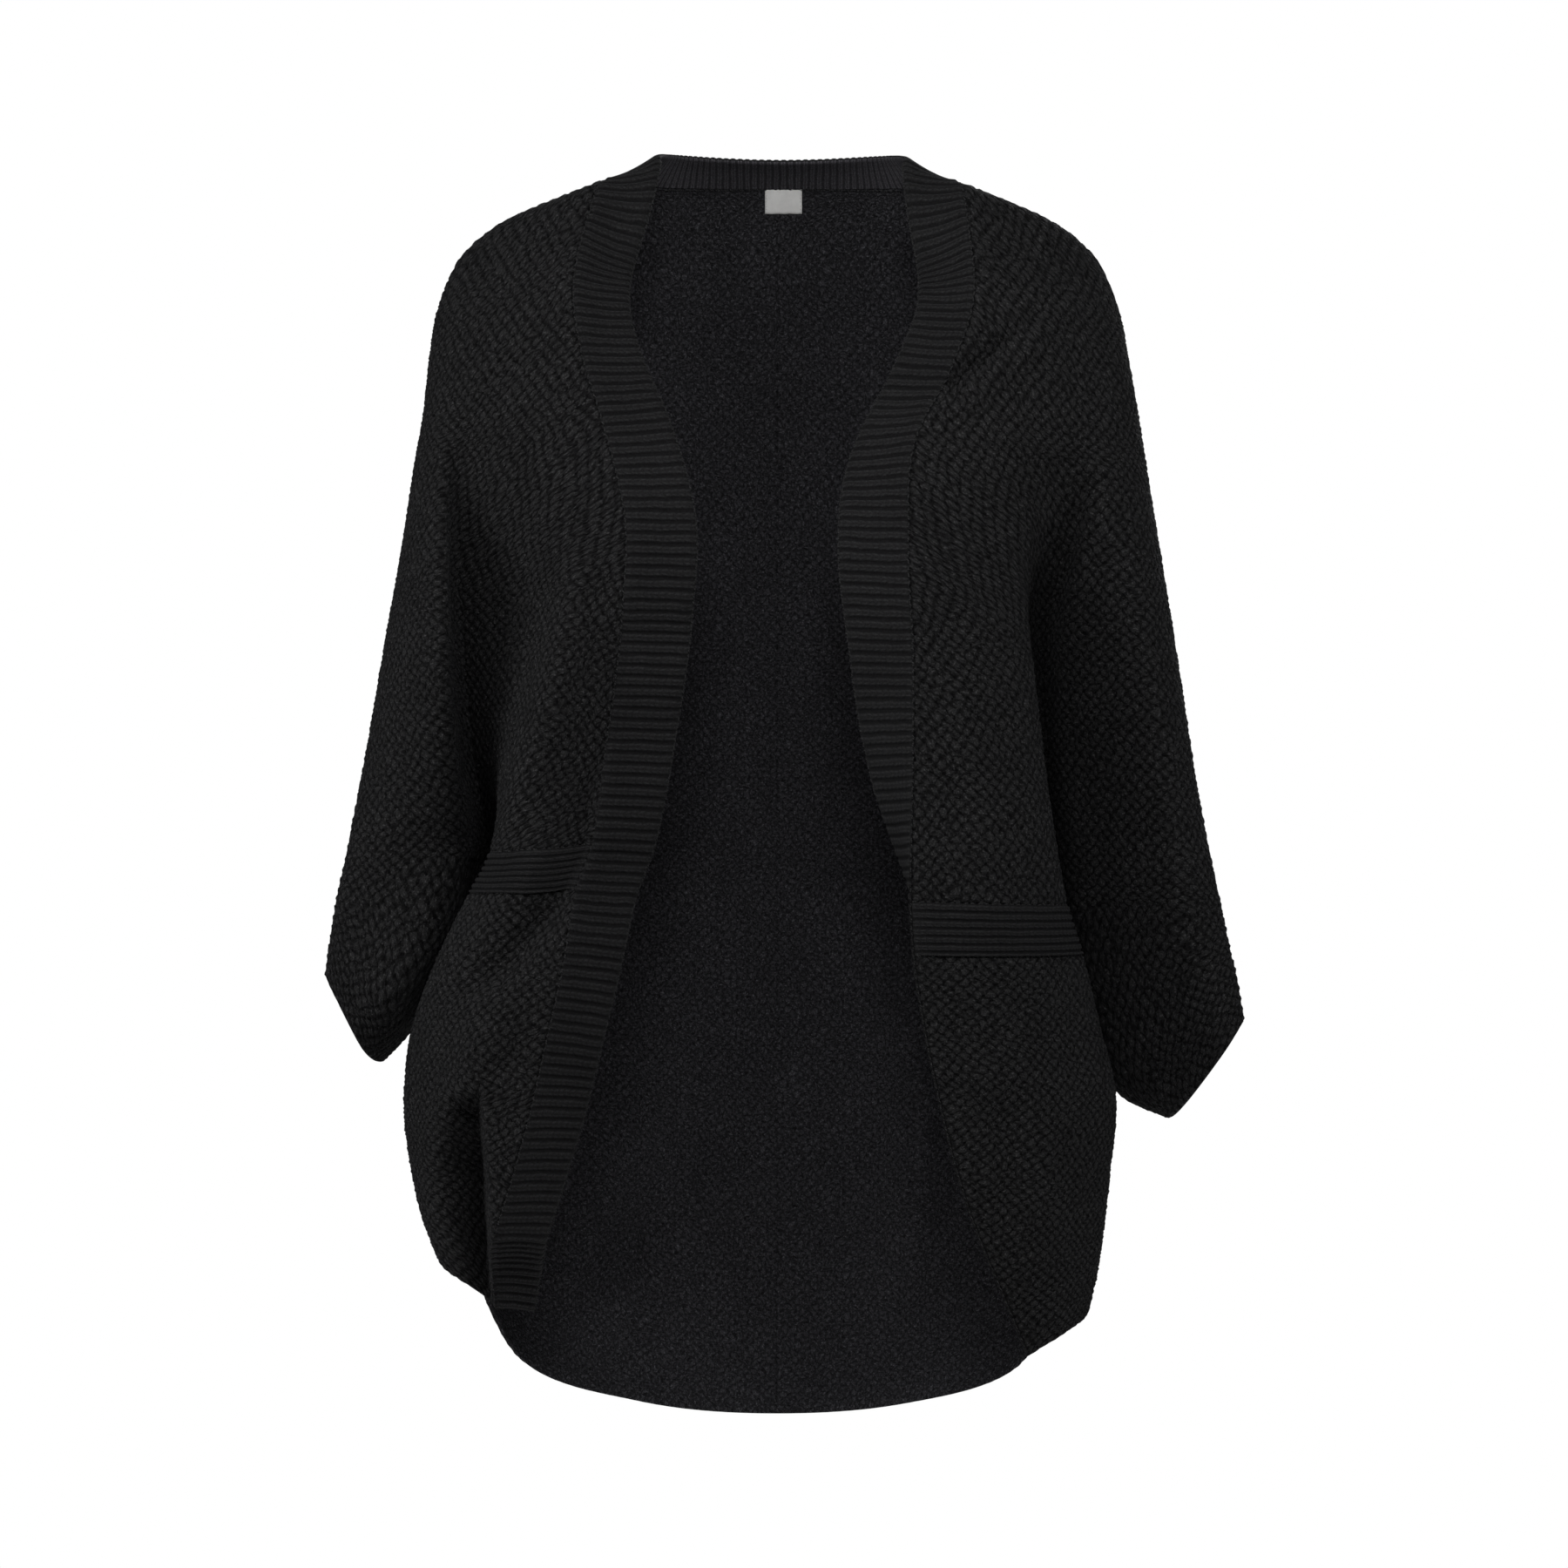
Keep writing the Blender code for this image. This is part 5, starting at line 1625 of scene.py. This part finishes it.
@dataclass
class MossPanels:
    """The moss-stitch pieces: fronts, lower fronts and the back."""

    layer: Layer
    finishes: Finishes
    front_cut: Cut = Cut(0.34, 0.56, 0.129)
    lower_cut: Cut = Cut(0.21, 0.31, 0.045)
    back_cut: Cut = Cut(0.30, 0.81, 0.166)
    sleeve_cut: Cut = Cut(0.16, 0.56, 0.078)

    def panel(self, name: str, side: Side, node: str, cut: Cut, *stretches: tuple) -> None:
        """Args:
            name: name of the piece, without its side.
            side: the wearer's side.
            node: CAD node that it stands for.
            cut: its flat size; not used.
            *stretches: stretch, first row, last row and edges of each part of it.
        """
        gauge = self.layer.gauge
        patch = Patch.joined([self.layer.lay(side, *stretch) for stretch in stretches])
        stitches = gauge.sway(patch.stitches)
        half = self.layer.draft.wall / 2 * patch.bulk
        out = half + patch.proud * gauge.heights(stitches, inside=False)
        into = half + patch.proud * gauge.heights(stitches + 0.5, inside=True)
        piece = solid(f"{name}_{side.word}", patch.points, patch.normals * out[:, None],
                      -patch.normals * into[:, None], patch.triangles, stitches,
                      self.finishes.moss, self.finishes.purl)
        dress(piece, [node])

    def build(self) -> None:
        """Builds every panel."""
        join, seam, free = Edge.JOIN, Edge.SEAM, Edge.FREE
        waist, low, hem, cuff = (getattr(self.layer.draft, f"{name}_row")
                                 for name in ("waist", "lower", "hem", "cuff"))
        for side in Side:
            self.panel("front_panel", side, f"front_{side.word}", self.front_cut,
                       (Stretch.BODY_FRONT, 0, waist, (seam, seam, seam, join)),
                       (Stretch.SLEEVE_FRONT, 0, waist, (seam, join, join, seam)),
                       (Stretch.SLEEVE_FRONT, waist, cuff, (join, free, seam, seam)))
            self.panel("lower_front_panel", side, f"lower_front_{side.word}", self.lower_cut,
                       (Stretch.BODY_FRONT, low, hem, (seam, free, seam, seam)))
            self.panel("back_panel", side, "back", self.back_cut,
                       (Stretch.BODY_BACK, 0, waist, (seam, join, join, join)),
                       (Stretch.BODY_BACK, waist, hem, (join, free, seam, join)))
            self.panel("back_sleeve", side, "back", self.sleeve_cut,
                       (Stretch.SLEEVE_BACK, 0, waist, (seam, join, seam, join)),
                       (Stretch.SLEEVE_BACK, waist, cuff, (join, free, seam, seam)))


@dataclass
class Ribbing:
    """Ribbed strips: front bands, neckband and waist ribbing, in millimetres."""

    layer: Layer
    finishes: Finishes
    pitch: float = 7.1
    neck_pitch: float = 4.85
    waist_ribs: float = 6.5
    waist_grid: tuple[int, int] = (53, 64)
    band_samples: int = 1200
    neck_samples: int = 300
    height: float = 1.5
    waist_height: float = 1.3
    neck_height: float = 0.9
    neck_width: float = 30.0
    stitch: float = 4.6
    per_rib: int = 8  # points along the strip to each rib
    shoulder: float = 0.15  # where a rib starts to fall off to its hollow, in ribs
    foot: float = 0.44
    centre_dip: float = 0.16  # dip between a rib's two legs, share of its height
    centre_reach: float = 0.14
    jitter: float = 0.12  # uneven height of the ribs
    seam_reach: float = 0.07  # part of the strip over which ribs rise from the seam
    edge_reach: float = 0.08  # and over which they flatten to the free edge
    edge_height: float = 0.25  # height left there, as a share
    edge_bulk: Pair = (0.15, 0.06)  # thickness at the edge, and its reach
    seam_sink: float = 0.3
    inside_hollow: float = 0.35  # how far hollows stand out inside, share of the height
    seam_lean: float = 0.55  # least cosine of the lean of the wall at the seam
    places: tuple[float, ...] = (0.0, 0.025, 0.07, 0.22, 0.38, 0.54, 0.70, 0.84, 0.91, 0.955,
                                 0.985, 1.0)
    band_cut: Cut = Cut(0.046, 0.84, 0.035)
    waist_cut: Cut = Cut(0.20, 0.034, 0.0062)
    neck_cut: Cut = Cut(0.27, 0.034, 0.0085)

    def strip(self, name: str, middle: Array, facing: Array, ribs: Array,
              places: Array, height: float, open_edge: bool, stitch_count: Array,
              inside: Material | None = None) -> Object:
        """Closed strip of ribbing.

        Args:
            name: name of the piece.
            middle: middle surface, along the strip by across it.
            facing: outward direction at each point.
            ribs: rib number at each place along the strip.
            places: place across the strip, 0 at the seam and 1 at the free edge.
            height: how far a rib stands out, in millimetres.
            open_edge: whether the far edge is free.
            stitch_count: stitches from the seam, for the yarn's pattern.
            inside: finish of the inside face, where it differs; it carries painted light that
                makes it lighter.

        Returns:
            The object.
        """
        off = np.abs(ribs - np.round(ribs))
        crest = 1 - ease(off, self.shoulder, self.foot)
        crest = crest * (1 - self.centre_dip * (1 - ease(off, 0.0, self.centre_reach)))
        across = ease(places, 0.0, self.seam_reach)
        half = np.full((1, len(places)), self.layer.draft.wall / 2)
        if open_edge:
            rising = ease(1 - places, 0.0, self.edge_reach)
            across = across * (self.edge_height + (1 - self.edge_height) * rising)
            least, reach = self.edge_bulk
            half = half * (least + (1 - least) * rounded(1 - places, reach))
        else:
            across = across * ease(1 - places, 0.0, self.seam_reach)
        uneven = 1 + self.jitter * (2 * scatter(np.round(ribs)) - 1)
        out = half + height * (crest * uneven)[:, None] * across - self.seam_sink * (1 - across)
        into = half + self.inside_hollow * height * (1 - crest)[:, None] * across
        return grid_solid(name, middle, facing, out, into, (stitch_count, ribs[:, None]),
                          self.finishes.rib, inside)

    def front_band(self, side: Side) -> Object:
        """Band along one front edge, ribs across it.

        Args:
            side: the wearer's side.

        Returns:
            The band.
        """
        draft, places = self.layer.draft, np.array(self.places)
        fine = np.linspace(0.0, draft.hem_row, self.band_samples)
        grid = draft.band(side, fine, places)
        run = arc_length(grid[:, 0][None])[0]
        at = np.linspace(0, run[-1], int(run[-1] / self.pitch * self.per_rib))
        rows = np.interp(at, run, fine)
        middle = np.stack([follow(rows, fine, line) for line in grid.transpose(1, 0, 2)], axis=1)
        facing = grid_normals(middle) * -side.value
        seam_normal = self.layer.at_seam(side, rows)
        first = unit(facing[:, 0] + seam_normal)
        lean = np.sum(first * seam_normal, axis=1, keepdims=True)
        facing[:, 0] = first / np.maximum(lean, self.seam_lean)
        return self.strip(f"ribbed_band_{side.word}", middle, facing, at / self.pitch, places,
                          self.height, True, places * draft.band_width / self.stitch)

    def neck(self) -> Object:
        """Band round the back of the neck."""
        draft, places = self.layer.draft, np.array(self.places)
        probe = draft.neckband(np.linspace(0, 1, self.neck_samples), np.array([0.0, 1.0]))
        length = arc_length(probe[:, 0][None])[0, -1]
        count = int(length / self.neck_pitch * self.per_rib)
        middle = draft.neckband(np.linspace(0, 1, count), places)
        facing = grid_normals(middle)
        if facing[count // 2, len(places) // 2, 1] < 0:
            facing = -facing
        # the inside face takes the lighter neck yarn, as painted light
        return self.strip("ribbed_neckband", middle, facing,
                          np.linspace(0, length, count) / self.neck_pitch, places,
                          self.neck_height, True, places * self.neck_width / self.stitch,
                          self.finishes.neck_rib)

    def waist(self, side: Side) -> Object:
        """Waist ribbing: courses that run round the front.

        Args:
            side: the wearer's side.

        Returns:
            The ribbing.
        """
        draft = self.layer.draft
        rows = np.linspace(draft.waist_row, draft.lower_row, self.waist_grid[0])
        shares = np.linspace(0, 1, self.waist_grid[1])
        middle = draft.surface(side, Stretch.BODY_FRONT, rows, shares)
        facing = self.layer.normals(side, Stretch.BODY_FRONT, rows, shares)
        ribs = np.linspace(0.5, 0.5 + self.waist_ribs, len(rows))
        return self.strip(f"ribbed_waist_{side.word}", middle, facing, ribs, shares,
                          self.waist_height, False, arc_length(middle) / self.stitch)

    def build(self) -> None:
        """Builds every ribbed strip."""
        for side in Side:
            dress(self.front_band(side), [f"front_band_{side.word}"])
            dress(self.waist(side), [f"waist_rib_{side.word}"])
        dress(self.neck(), ["neckband"])


@dataclass
class NeckLabel:
    """Small white woven label inside the back neck, left blank. Sizes in millimetres."""

    draft: Draft
    finishes: Finishes
    width: float = 25.0
    thickness: float = 0.9
    edge_share: float = 0.35  # thickness at its edge
    edge_reach: float = 0.08  # part of the half width over which it thins
    aspect: float = 0.7  # height over width
    centre_x: float = 4.3
    first_row: float = 0.004
    last_row: float = 0.0525
    stand_off: float = 2.25
    puckers: Pair = (0.25, 9.0)  # along its sewn edges: height, how many
    puff: float = 0.35
    columns: int = 27
    rows: int = 20
    back_shares: tuple[float, float, int] = (0.6, 1.0, 60)  # where it lies on the back
    stitches: tuple[int, int] = (12, 8)  # half the UV map's count, across and down
    cut: Cut = Cut(0.025, 0.019)

    def axes(self) -> tuple[Array, Array]:
        """Places across and down the label, from -1 to 1."""
        return np.linspace(-1, 1, self.columns)[None, :], np.linspace(-1, 1, self.rows)[:, None]

    def surface(self) -> tuple[Array, Array]:
        """Middle of the label and the way it faces, rows by columns."""
        across = np.linspace(-0.5, 0.5, self.columns) * self.width + self.centre_x
        rows = np.linspace(self.first_row, self.last_row, self.rows)
        shares = np.linspace(*self.back_shares)
        lines = []
        for x in across:
            side = Side.LEFT if x >= 0 else Side.RIGHT
            fine = self.draft.surface(side, Stretch.BODY_BACK, rows, shares)
            order = np.argsort(fine[0, :, 0])
            lines.append([[x, np.interp(x, r[order, 0], r[order, 1]), r[-1, 2]] for r in fine])
        grid = np.array(lines).transpose(1, 0, 2)
        facing = grid_normals(grid)
        facing *= -np.sign(facing[..., 1:2])
        (u, v), (height, count) = self.axes(), self.puckers
        pucker = height * np.cos(u * count) * np.abs(v) ** 3 + self.puff * (1 - u**2) * (1 - v**2)
        return grid + facing * (self.stand_off + pucker)[..., None], facing

    def build(self) -> None:
        middle, facing = self.surface()
        u, v = self.axes()
        edge = np.minimum.reduce(np.broadcast_arrays(1 - np.abs(u), (1 - np.abs(v)) * self.aspect))
        share = self.edge_share + (1 - self.edge_share) * ease(edge, 0.0, self.edge_reach)
        half = self.thickness / 2 * share
        piece = grid_solid("woven_neck_label", middle, facing, half, half,
                           (u * self.stitches[0], v * self.stitches[1]), self.finishes.label)
        dress(piece, ["neck_label"])


@dataclass(frozen=True)
class StitchRow:
    """Row of sewn or linked stitches along a path, in millimetres and degrees."""

    pitch: float = 4.6
    length: float = 5.2
    width: float = 1.7
    height: float = 1.2
    lean: float = 13.0  # how far each stitch lies off the path, turn and turn about
    uneven: float = 6.0
    seed: int = 11
    segments: int = 6
    rings: int = 3

    def tree(self) -> bpy.types.NodeTree:
        """Geometry Nodes that set one small stitch at every pitch of the path."""
        tree = bpy.data.node_groups.new("stitch_row", "GeometryNodeTree")
        for name, kind in (("Path", "Geometry"), ("Pitch", "Float"), ("Size", "Vector"),
                           ("Lean", "Float"), ("Uneven", "Float"), ("Seed", "Int"),
                           ("Yarn", "Material")):
            tree.interface.new_socket(name, in_out="INPUT", socket_type=f"NodeSocket{kind}")
        tree.interface.new_socket("Stitches", in_out="OUTPUT", socket_type="NodeSocketGeometry")
        nodes = Nodes(tree)

        def out(kind: str, inputs: dict[Any, Any] | None = None, **settings: Any) -> Any:
            """First output of a new node."""
            return nodes.node(kind, inputs, **settings).outputs[0]

        given = nodes.node("NodeGroupInput").outputs
        curve = out("GeometryNodeMeshToCurve", {"Mesh": given["Path"]})
        places = out("GeometryNodeResampleCurve", {"Curve": curve, "Length": given["Pitch"]},
                     mode="LENGTH")
        shape = out("GeometryNodeMeshUVSphere",
                    {"Segments": self.segments, "Rings": self.rings, "Radius": 0.5})
        shape = out("GeometryNodeTransform", {"Geometry": shape, "Scale": given["Size"]})
        shape = out("GeometryNodeSetShadeSmooth", {"Geometry": shape})
        along = out("FunctionNodeAlignRotationToVector",
                    {"Vector": out("GeometryNodeInputTangent")}, axis="X")
        facing = out("GeometryNodeInputNamedAttribute", {"Name": "facing"},
                     data_type="FLOAT_VECTOR")
        upright = out("FunctionNodeAlignRotationToVector", {"Rotation": along, "Vector": facing},
                      axis="Z", pivot_axis="X")
        odd = out("ShaderNodeMath", {0: out("GeometryNodeInputIndex"), 1: 2.0},
                  operation="MODULO")
        turn = out("ShaderNodeMath", {0: odd, 1: 2.0, 2: -1.0}, operation="MULTIPLY_ADD")
        loose = nodes.node("FunctionNodeRandomValue", {"Seed": given["Seed"], 2: -1.0, 3: 1.0},
                           data_type="FLOAT").outputs[1]
        lean = out("ShaderNodeMath", {0: turn, 1: given["Lean"]}, operation="MULTIPLY")
        lean = out("ShaderNodeMath", {0: loose, 1: given["Uneven"], 2: lean},
                   operation="MULTIPLY_ADD")
        angle = out("FunctionNodeEulerToRotation", {0: out("ShaderNodeCombineXYZ", {"Z": lean})})
        turned = out("FunctionNodeRotateRotation", {"Rotation": upright, "Rotate By": angle},
                     rotation_space="LOCAL")
        laid = out("GeometryNodeInstanceOnPoints",
                   {"Points": places, "Instance": shape, "Rotation": turned})
        real = out("GeometryNodeRealizeInstances", {"Geometry": laid})
        dyed = out("GeometryNodeSetMaterial", {"Geometry": real, "Material": given["Yarn"]})
        nodes.node("NodeGroupOutput", {0: dyed})
        return tree

    def lay(self, name: str, path: Array, facing: Array, yarn: Material) -> Object:
        """Sews the row.

        Args:
            name: name of the piece.
            path: points along the row, in millimetres.
            facing: the way the cloth faces at each point.
            yarn: the stitches' material.

        Returns:
            The stitches as one plain mesh.
        """
        mesh = bpy.data.meshes.new(name)
        mesh.from_pydata((path * MM).tolist(), [(k, k + 1) for k in range(len(path) - 1)], [])
        facings = mesh.attributes.new("facing", "FLOAT_VECTOR", "POINT")
        facings.data.foreach_set("vector", facing.astype(np.float32).reshape(-1))
        obj = placed_object(name, mesh)
        modifier = obj.modifiers.new("stitches", "NODES")
        modifier.node_group = self.tree()
        sizes = {"Pitch": self.pitch * MM,
                 "Size": [v * MM for v in (self.length, self.width, self.height)],
                 "Lean": math.radians(self.lean), "Uneven": math.radians(self.uneven),
                 "Seed": self.seed, "Yarn": yarn}
        for item in modifier.node_group.interface.items_tree:
            if item.in_out == "INPUT" and item.name in sizes:
                modifier[item.identifier] = sizes[item.name]
        depsgraph = bpy.context.evaluated_depsgraph_get()
        made = bpy.data.meshes.new_from_object(obj.evaluated_get(depsgraph))
        obj.modifiers.clear()
        obj.data = made
        made.name = name
        return obj


@dataclass
class Linking:
    """Stitches that join the pieces, finish the bands' edges and hold the label."""

    layer: Layer
    finishes: Finishes
    label: NeckLabel
    edge: StitchRow = StitchRow(pitch=4.6, length=5.3, width=2.3, height=1.5, lean=9.0)
    join: StitchRow = StitchRow(pitch=4.6, length=4.4, width=1.3, height=1.0, seed=12)
    neck: StitchRow = StitchRow(pitch=3.3, length=3.4, width=1.5, height=1.2, lean=24.0, seed=13)
    tack: StitchRow = StitchRow(pitch=1.7, length=1.5, width=0.45, height=0.4, lean=20.0, seed=14)
    lift: float = 1.25  # from the middle of the cloth to the stitches in a seam
    neck_lift: float = 2.1
    neck_row: float = 0.006
    edge_lift: float = 0.1
    tack_lift: float = 0.05
    band_rows: tuple[float, float, int] = (0.012, 1.99, 420)
    waist_shares: tuple[float, float, int] = (0.01, 0.96, 120)
    neck_shares: tuple[float, float, int] = (0.52, 1.0, 120)

    def band_lines(self, side: Side) -> dict[str, tuple[Array, Array]]:
        """Lines along a front band.

        Args:
            side: the wearer's side.

        Returns:
            Its free edge and its seam, each as points and the way they face.
        """
        rows = np.linspace(*self.band_rows)
        grid = self.layer.draft.band(side, rows, np.array([0.0, 0.05, 0.95, 1.0]))
        facing = grid_normals(grid[:, :2])[:, 0] * -side.value
        seam = unit(facing + self.layer.at_seam(side, rows))
        away = unit(grid[:, 3] - grid[:, 2])
        return {"edge": (grid[:, 3] + away * self.edge_lift, away),
                "seam": (grid[:, 0] + seam * self.lift, seam)}

    def cloth_line(self, side: Side, stretch: Stretch, row: float, shares: Array,
                   lift: float) -> tuple[Array, Array]:
        """Line on the outside of the cloth, or on its inside where the lift is negative.

        Args:
            side: the wearer's side.
            stretch: which of the four stretches.
            row: place down the garment.
            shares: places along the row.
            lift: distance from the middle of the cloth.

        Returns:
            Points in millimetres and the way they face.
        """
        facing = self.layer.normals(side, stretch, np.array([row]), shares)[0]
        middle = self.layer.draft.surface(side, stretch, [row], shares)[0]
        return middle + facing * lift, facing * math.copysign(1.0, lift)

    def neck_line(self) -> tuple[Array, Array]:
        """Inside of the seam that holds the neckband, from right to left."""
        shares = np.linspace(*self.neck_shares)
        right, left = (self.cloth_line(side, Stretch.BODY_BACK, self.neck_row, shares,
                                       -self.neck_lift) for side in Side)
        place, way = (np.concatenate([r, l[-2::-1]]) for r, l in zip(right, left))
        return place, way

    def build(self) -> None:
        """Sews every row."""
        yarn, shares = self.finishes.seam, np.linspace(*self.waist_shares)
        for side in Side:
            lines = self.band_lines(side)
            rows = [(f"band_edge_stitches_{side.word}", self.edge, lines["edge"]),
                    (f"band_seam_stitches_{side.word}", self.join, lines["seam"])]
            for word, row in (("upper", self.layer.draft.waist_row),
                              ("lower", self.layer.draft.lower_row)):
                line = self.cloth_line(side, Stretch.BODY_FRONT, row, shares, self.lift)
                rows.append((f"waist_seam_stitches_{side.word}_{word}", self.join, line))
            for name, row, line in rows:
                dress(row.lay(name, *line, yarn), [])
        dress(self.neck.lay("neck_seam_stitches", *self.neck_line(), yarn), [])
        middle, facing = self.label.surface()
        out = middle + facing * (self.label.thickness / 2 + self.tack_lift)
        for word, column in (("right", 1), ("left", self.label.columns - 2)):
            dress(self.tack.lay(f"label_stitches_{word}", out[1:-1, column],
                                facing[1:-1, column], self.finishes.thread), [])


# -------------------- studio
@dataclass(frozen=True)
class Softbox:
    """Square soft light that faces the garment, in metres and watts."""

    name: str
    place: Triple
    size: float
    power: float


@dataclass(frozen=True)
class Studio:
    """Floor, lights and camera."""

    finishes: Finishes
    floor_z: float = -1.38
    floor_radius: float = 2.4
    floor_sides: int = 96
    surround: float = 0.11
    distance: float = 3.2
    aim: Triple = (0.0046, 0.0, -0.390)
    frame_width: float = 1800 * 0.00057
    sensor: float = 36.0
    clip_end: float = 50.0
    softboxes: tuple[Softbox, ...] = (
        Softbox("right_side_softbox", (-2.4, -1.1, 0.3), 1.2, 34.0),
        Softbox("left_side_softbox", (2.3, -1.1, 0.8), 1.2, 19.0),
        Softbox("right_high_softbox", (-1.6, -2.0, 1.7), 1.3, 9.0),
        Softbox("left_high_softbox", (1.6, -2.0, 1.7), 1.3, 7.0),
        Softbox("opening_softbox", (0.0, -1.05, 0.15), 0.3, 5.6),
        Softbox("back_softbox", (0.8, 2.8, 1.0), 1.6, 60.0),
    )

    def build(self) -> None:
        """Builds everything that isn't the garment."""
        self.floor()
        self.world()
        for softbox in self.softboxes:
            lamp = bpy.data.lights.new(softbox.name, "AREA")
            lamp.size, lamp.energy = softbox.size, softbox.power
            obj = placed_object(softbox.name, lamp)
            obj.location = softbox.place
            way = Vector(self.aim) - Vector(softbox.place)
            obj.rotation_euler = way.to_track_quat("-Z", "Y").to_euler()
        camera = bpy.data.cameras.new("camera")
        camera.sensor_width = self.sensor
        camera.lens = self.sensor * self.distance / self.frame_width
        camera.clip_end = self.clip_end
        placed = placed_object("camera", camera)
        placed.location = (self.aim[0], -self.distance, self.aim[2])
        placed.rotation_euler = (math.pi / 2, 0.0, 0.0)
        bpy.context.scene.camera = placed

    def floor(self) -> None:
        """Round pale floor."""
        turns = [2 * math.pi * k / self.floor_sides for k in range(self.floor_sides)]
        ring = [(self.floor_radius * math.cos(turn), self.floor_radius * math.sin(turn),
                 self.floor_z) for turn in turns]
        mesh = bpy.data.meshes.new("studio_floor")
        mesh.from_pydata(ring, [], [list(range(self.floor_sides))])
        mesh.materials.append(self.finishes.floor)
        placed_object("studio_floor", mesh)

    def world(self) -> None:
        """White behind the garment, with softer light from all round."""
        world = bpy.data.worlds.new("studio")
        world.use_nodes = True
        nodes = Nodes(world.node_tree)
        behind = world.node_tree.nodes["Background"]
        around = nodes.node("ShaderNodeBackground", {1: self.surround})
        for background in (behind, around):
            nodes.give(background, {0: (1.0, 1.0, 1.0, 1.0)})
        seen = nodes.node("ShaderNodeLightPath").outputs["Is Camera Ray"]
        chosen = nodes.node("ShaderNodeMixShader",
                            {0: seen, 1: around.outputs[0], 2: behind.outputs[0]})
        nodes.give(world.node_tree.nodes["World Output"], {0: chosen.outputs[0]})
        bpy.context.scene.world = world
        bpy.context.scene.view_settings.view_transform = "Standard"


def main() -> None:
    """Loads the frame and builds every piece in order."""
    logging.basicConfig(level=logging.INFO, format="%(message)s")
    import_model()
    layer, finishes = Layer(Draft(), Gauge()), Finishes.make()
    MossPanels(layer, finishes).build()
    Ribbing(layer, finishes).build()
    label = NeckLabel(layer.draft, finishes)
    label.build()
    Linking(layer, finishes, label).build()
    Studio(finishes).build()


if __name__ == "__main__":
    main()
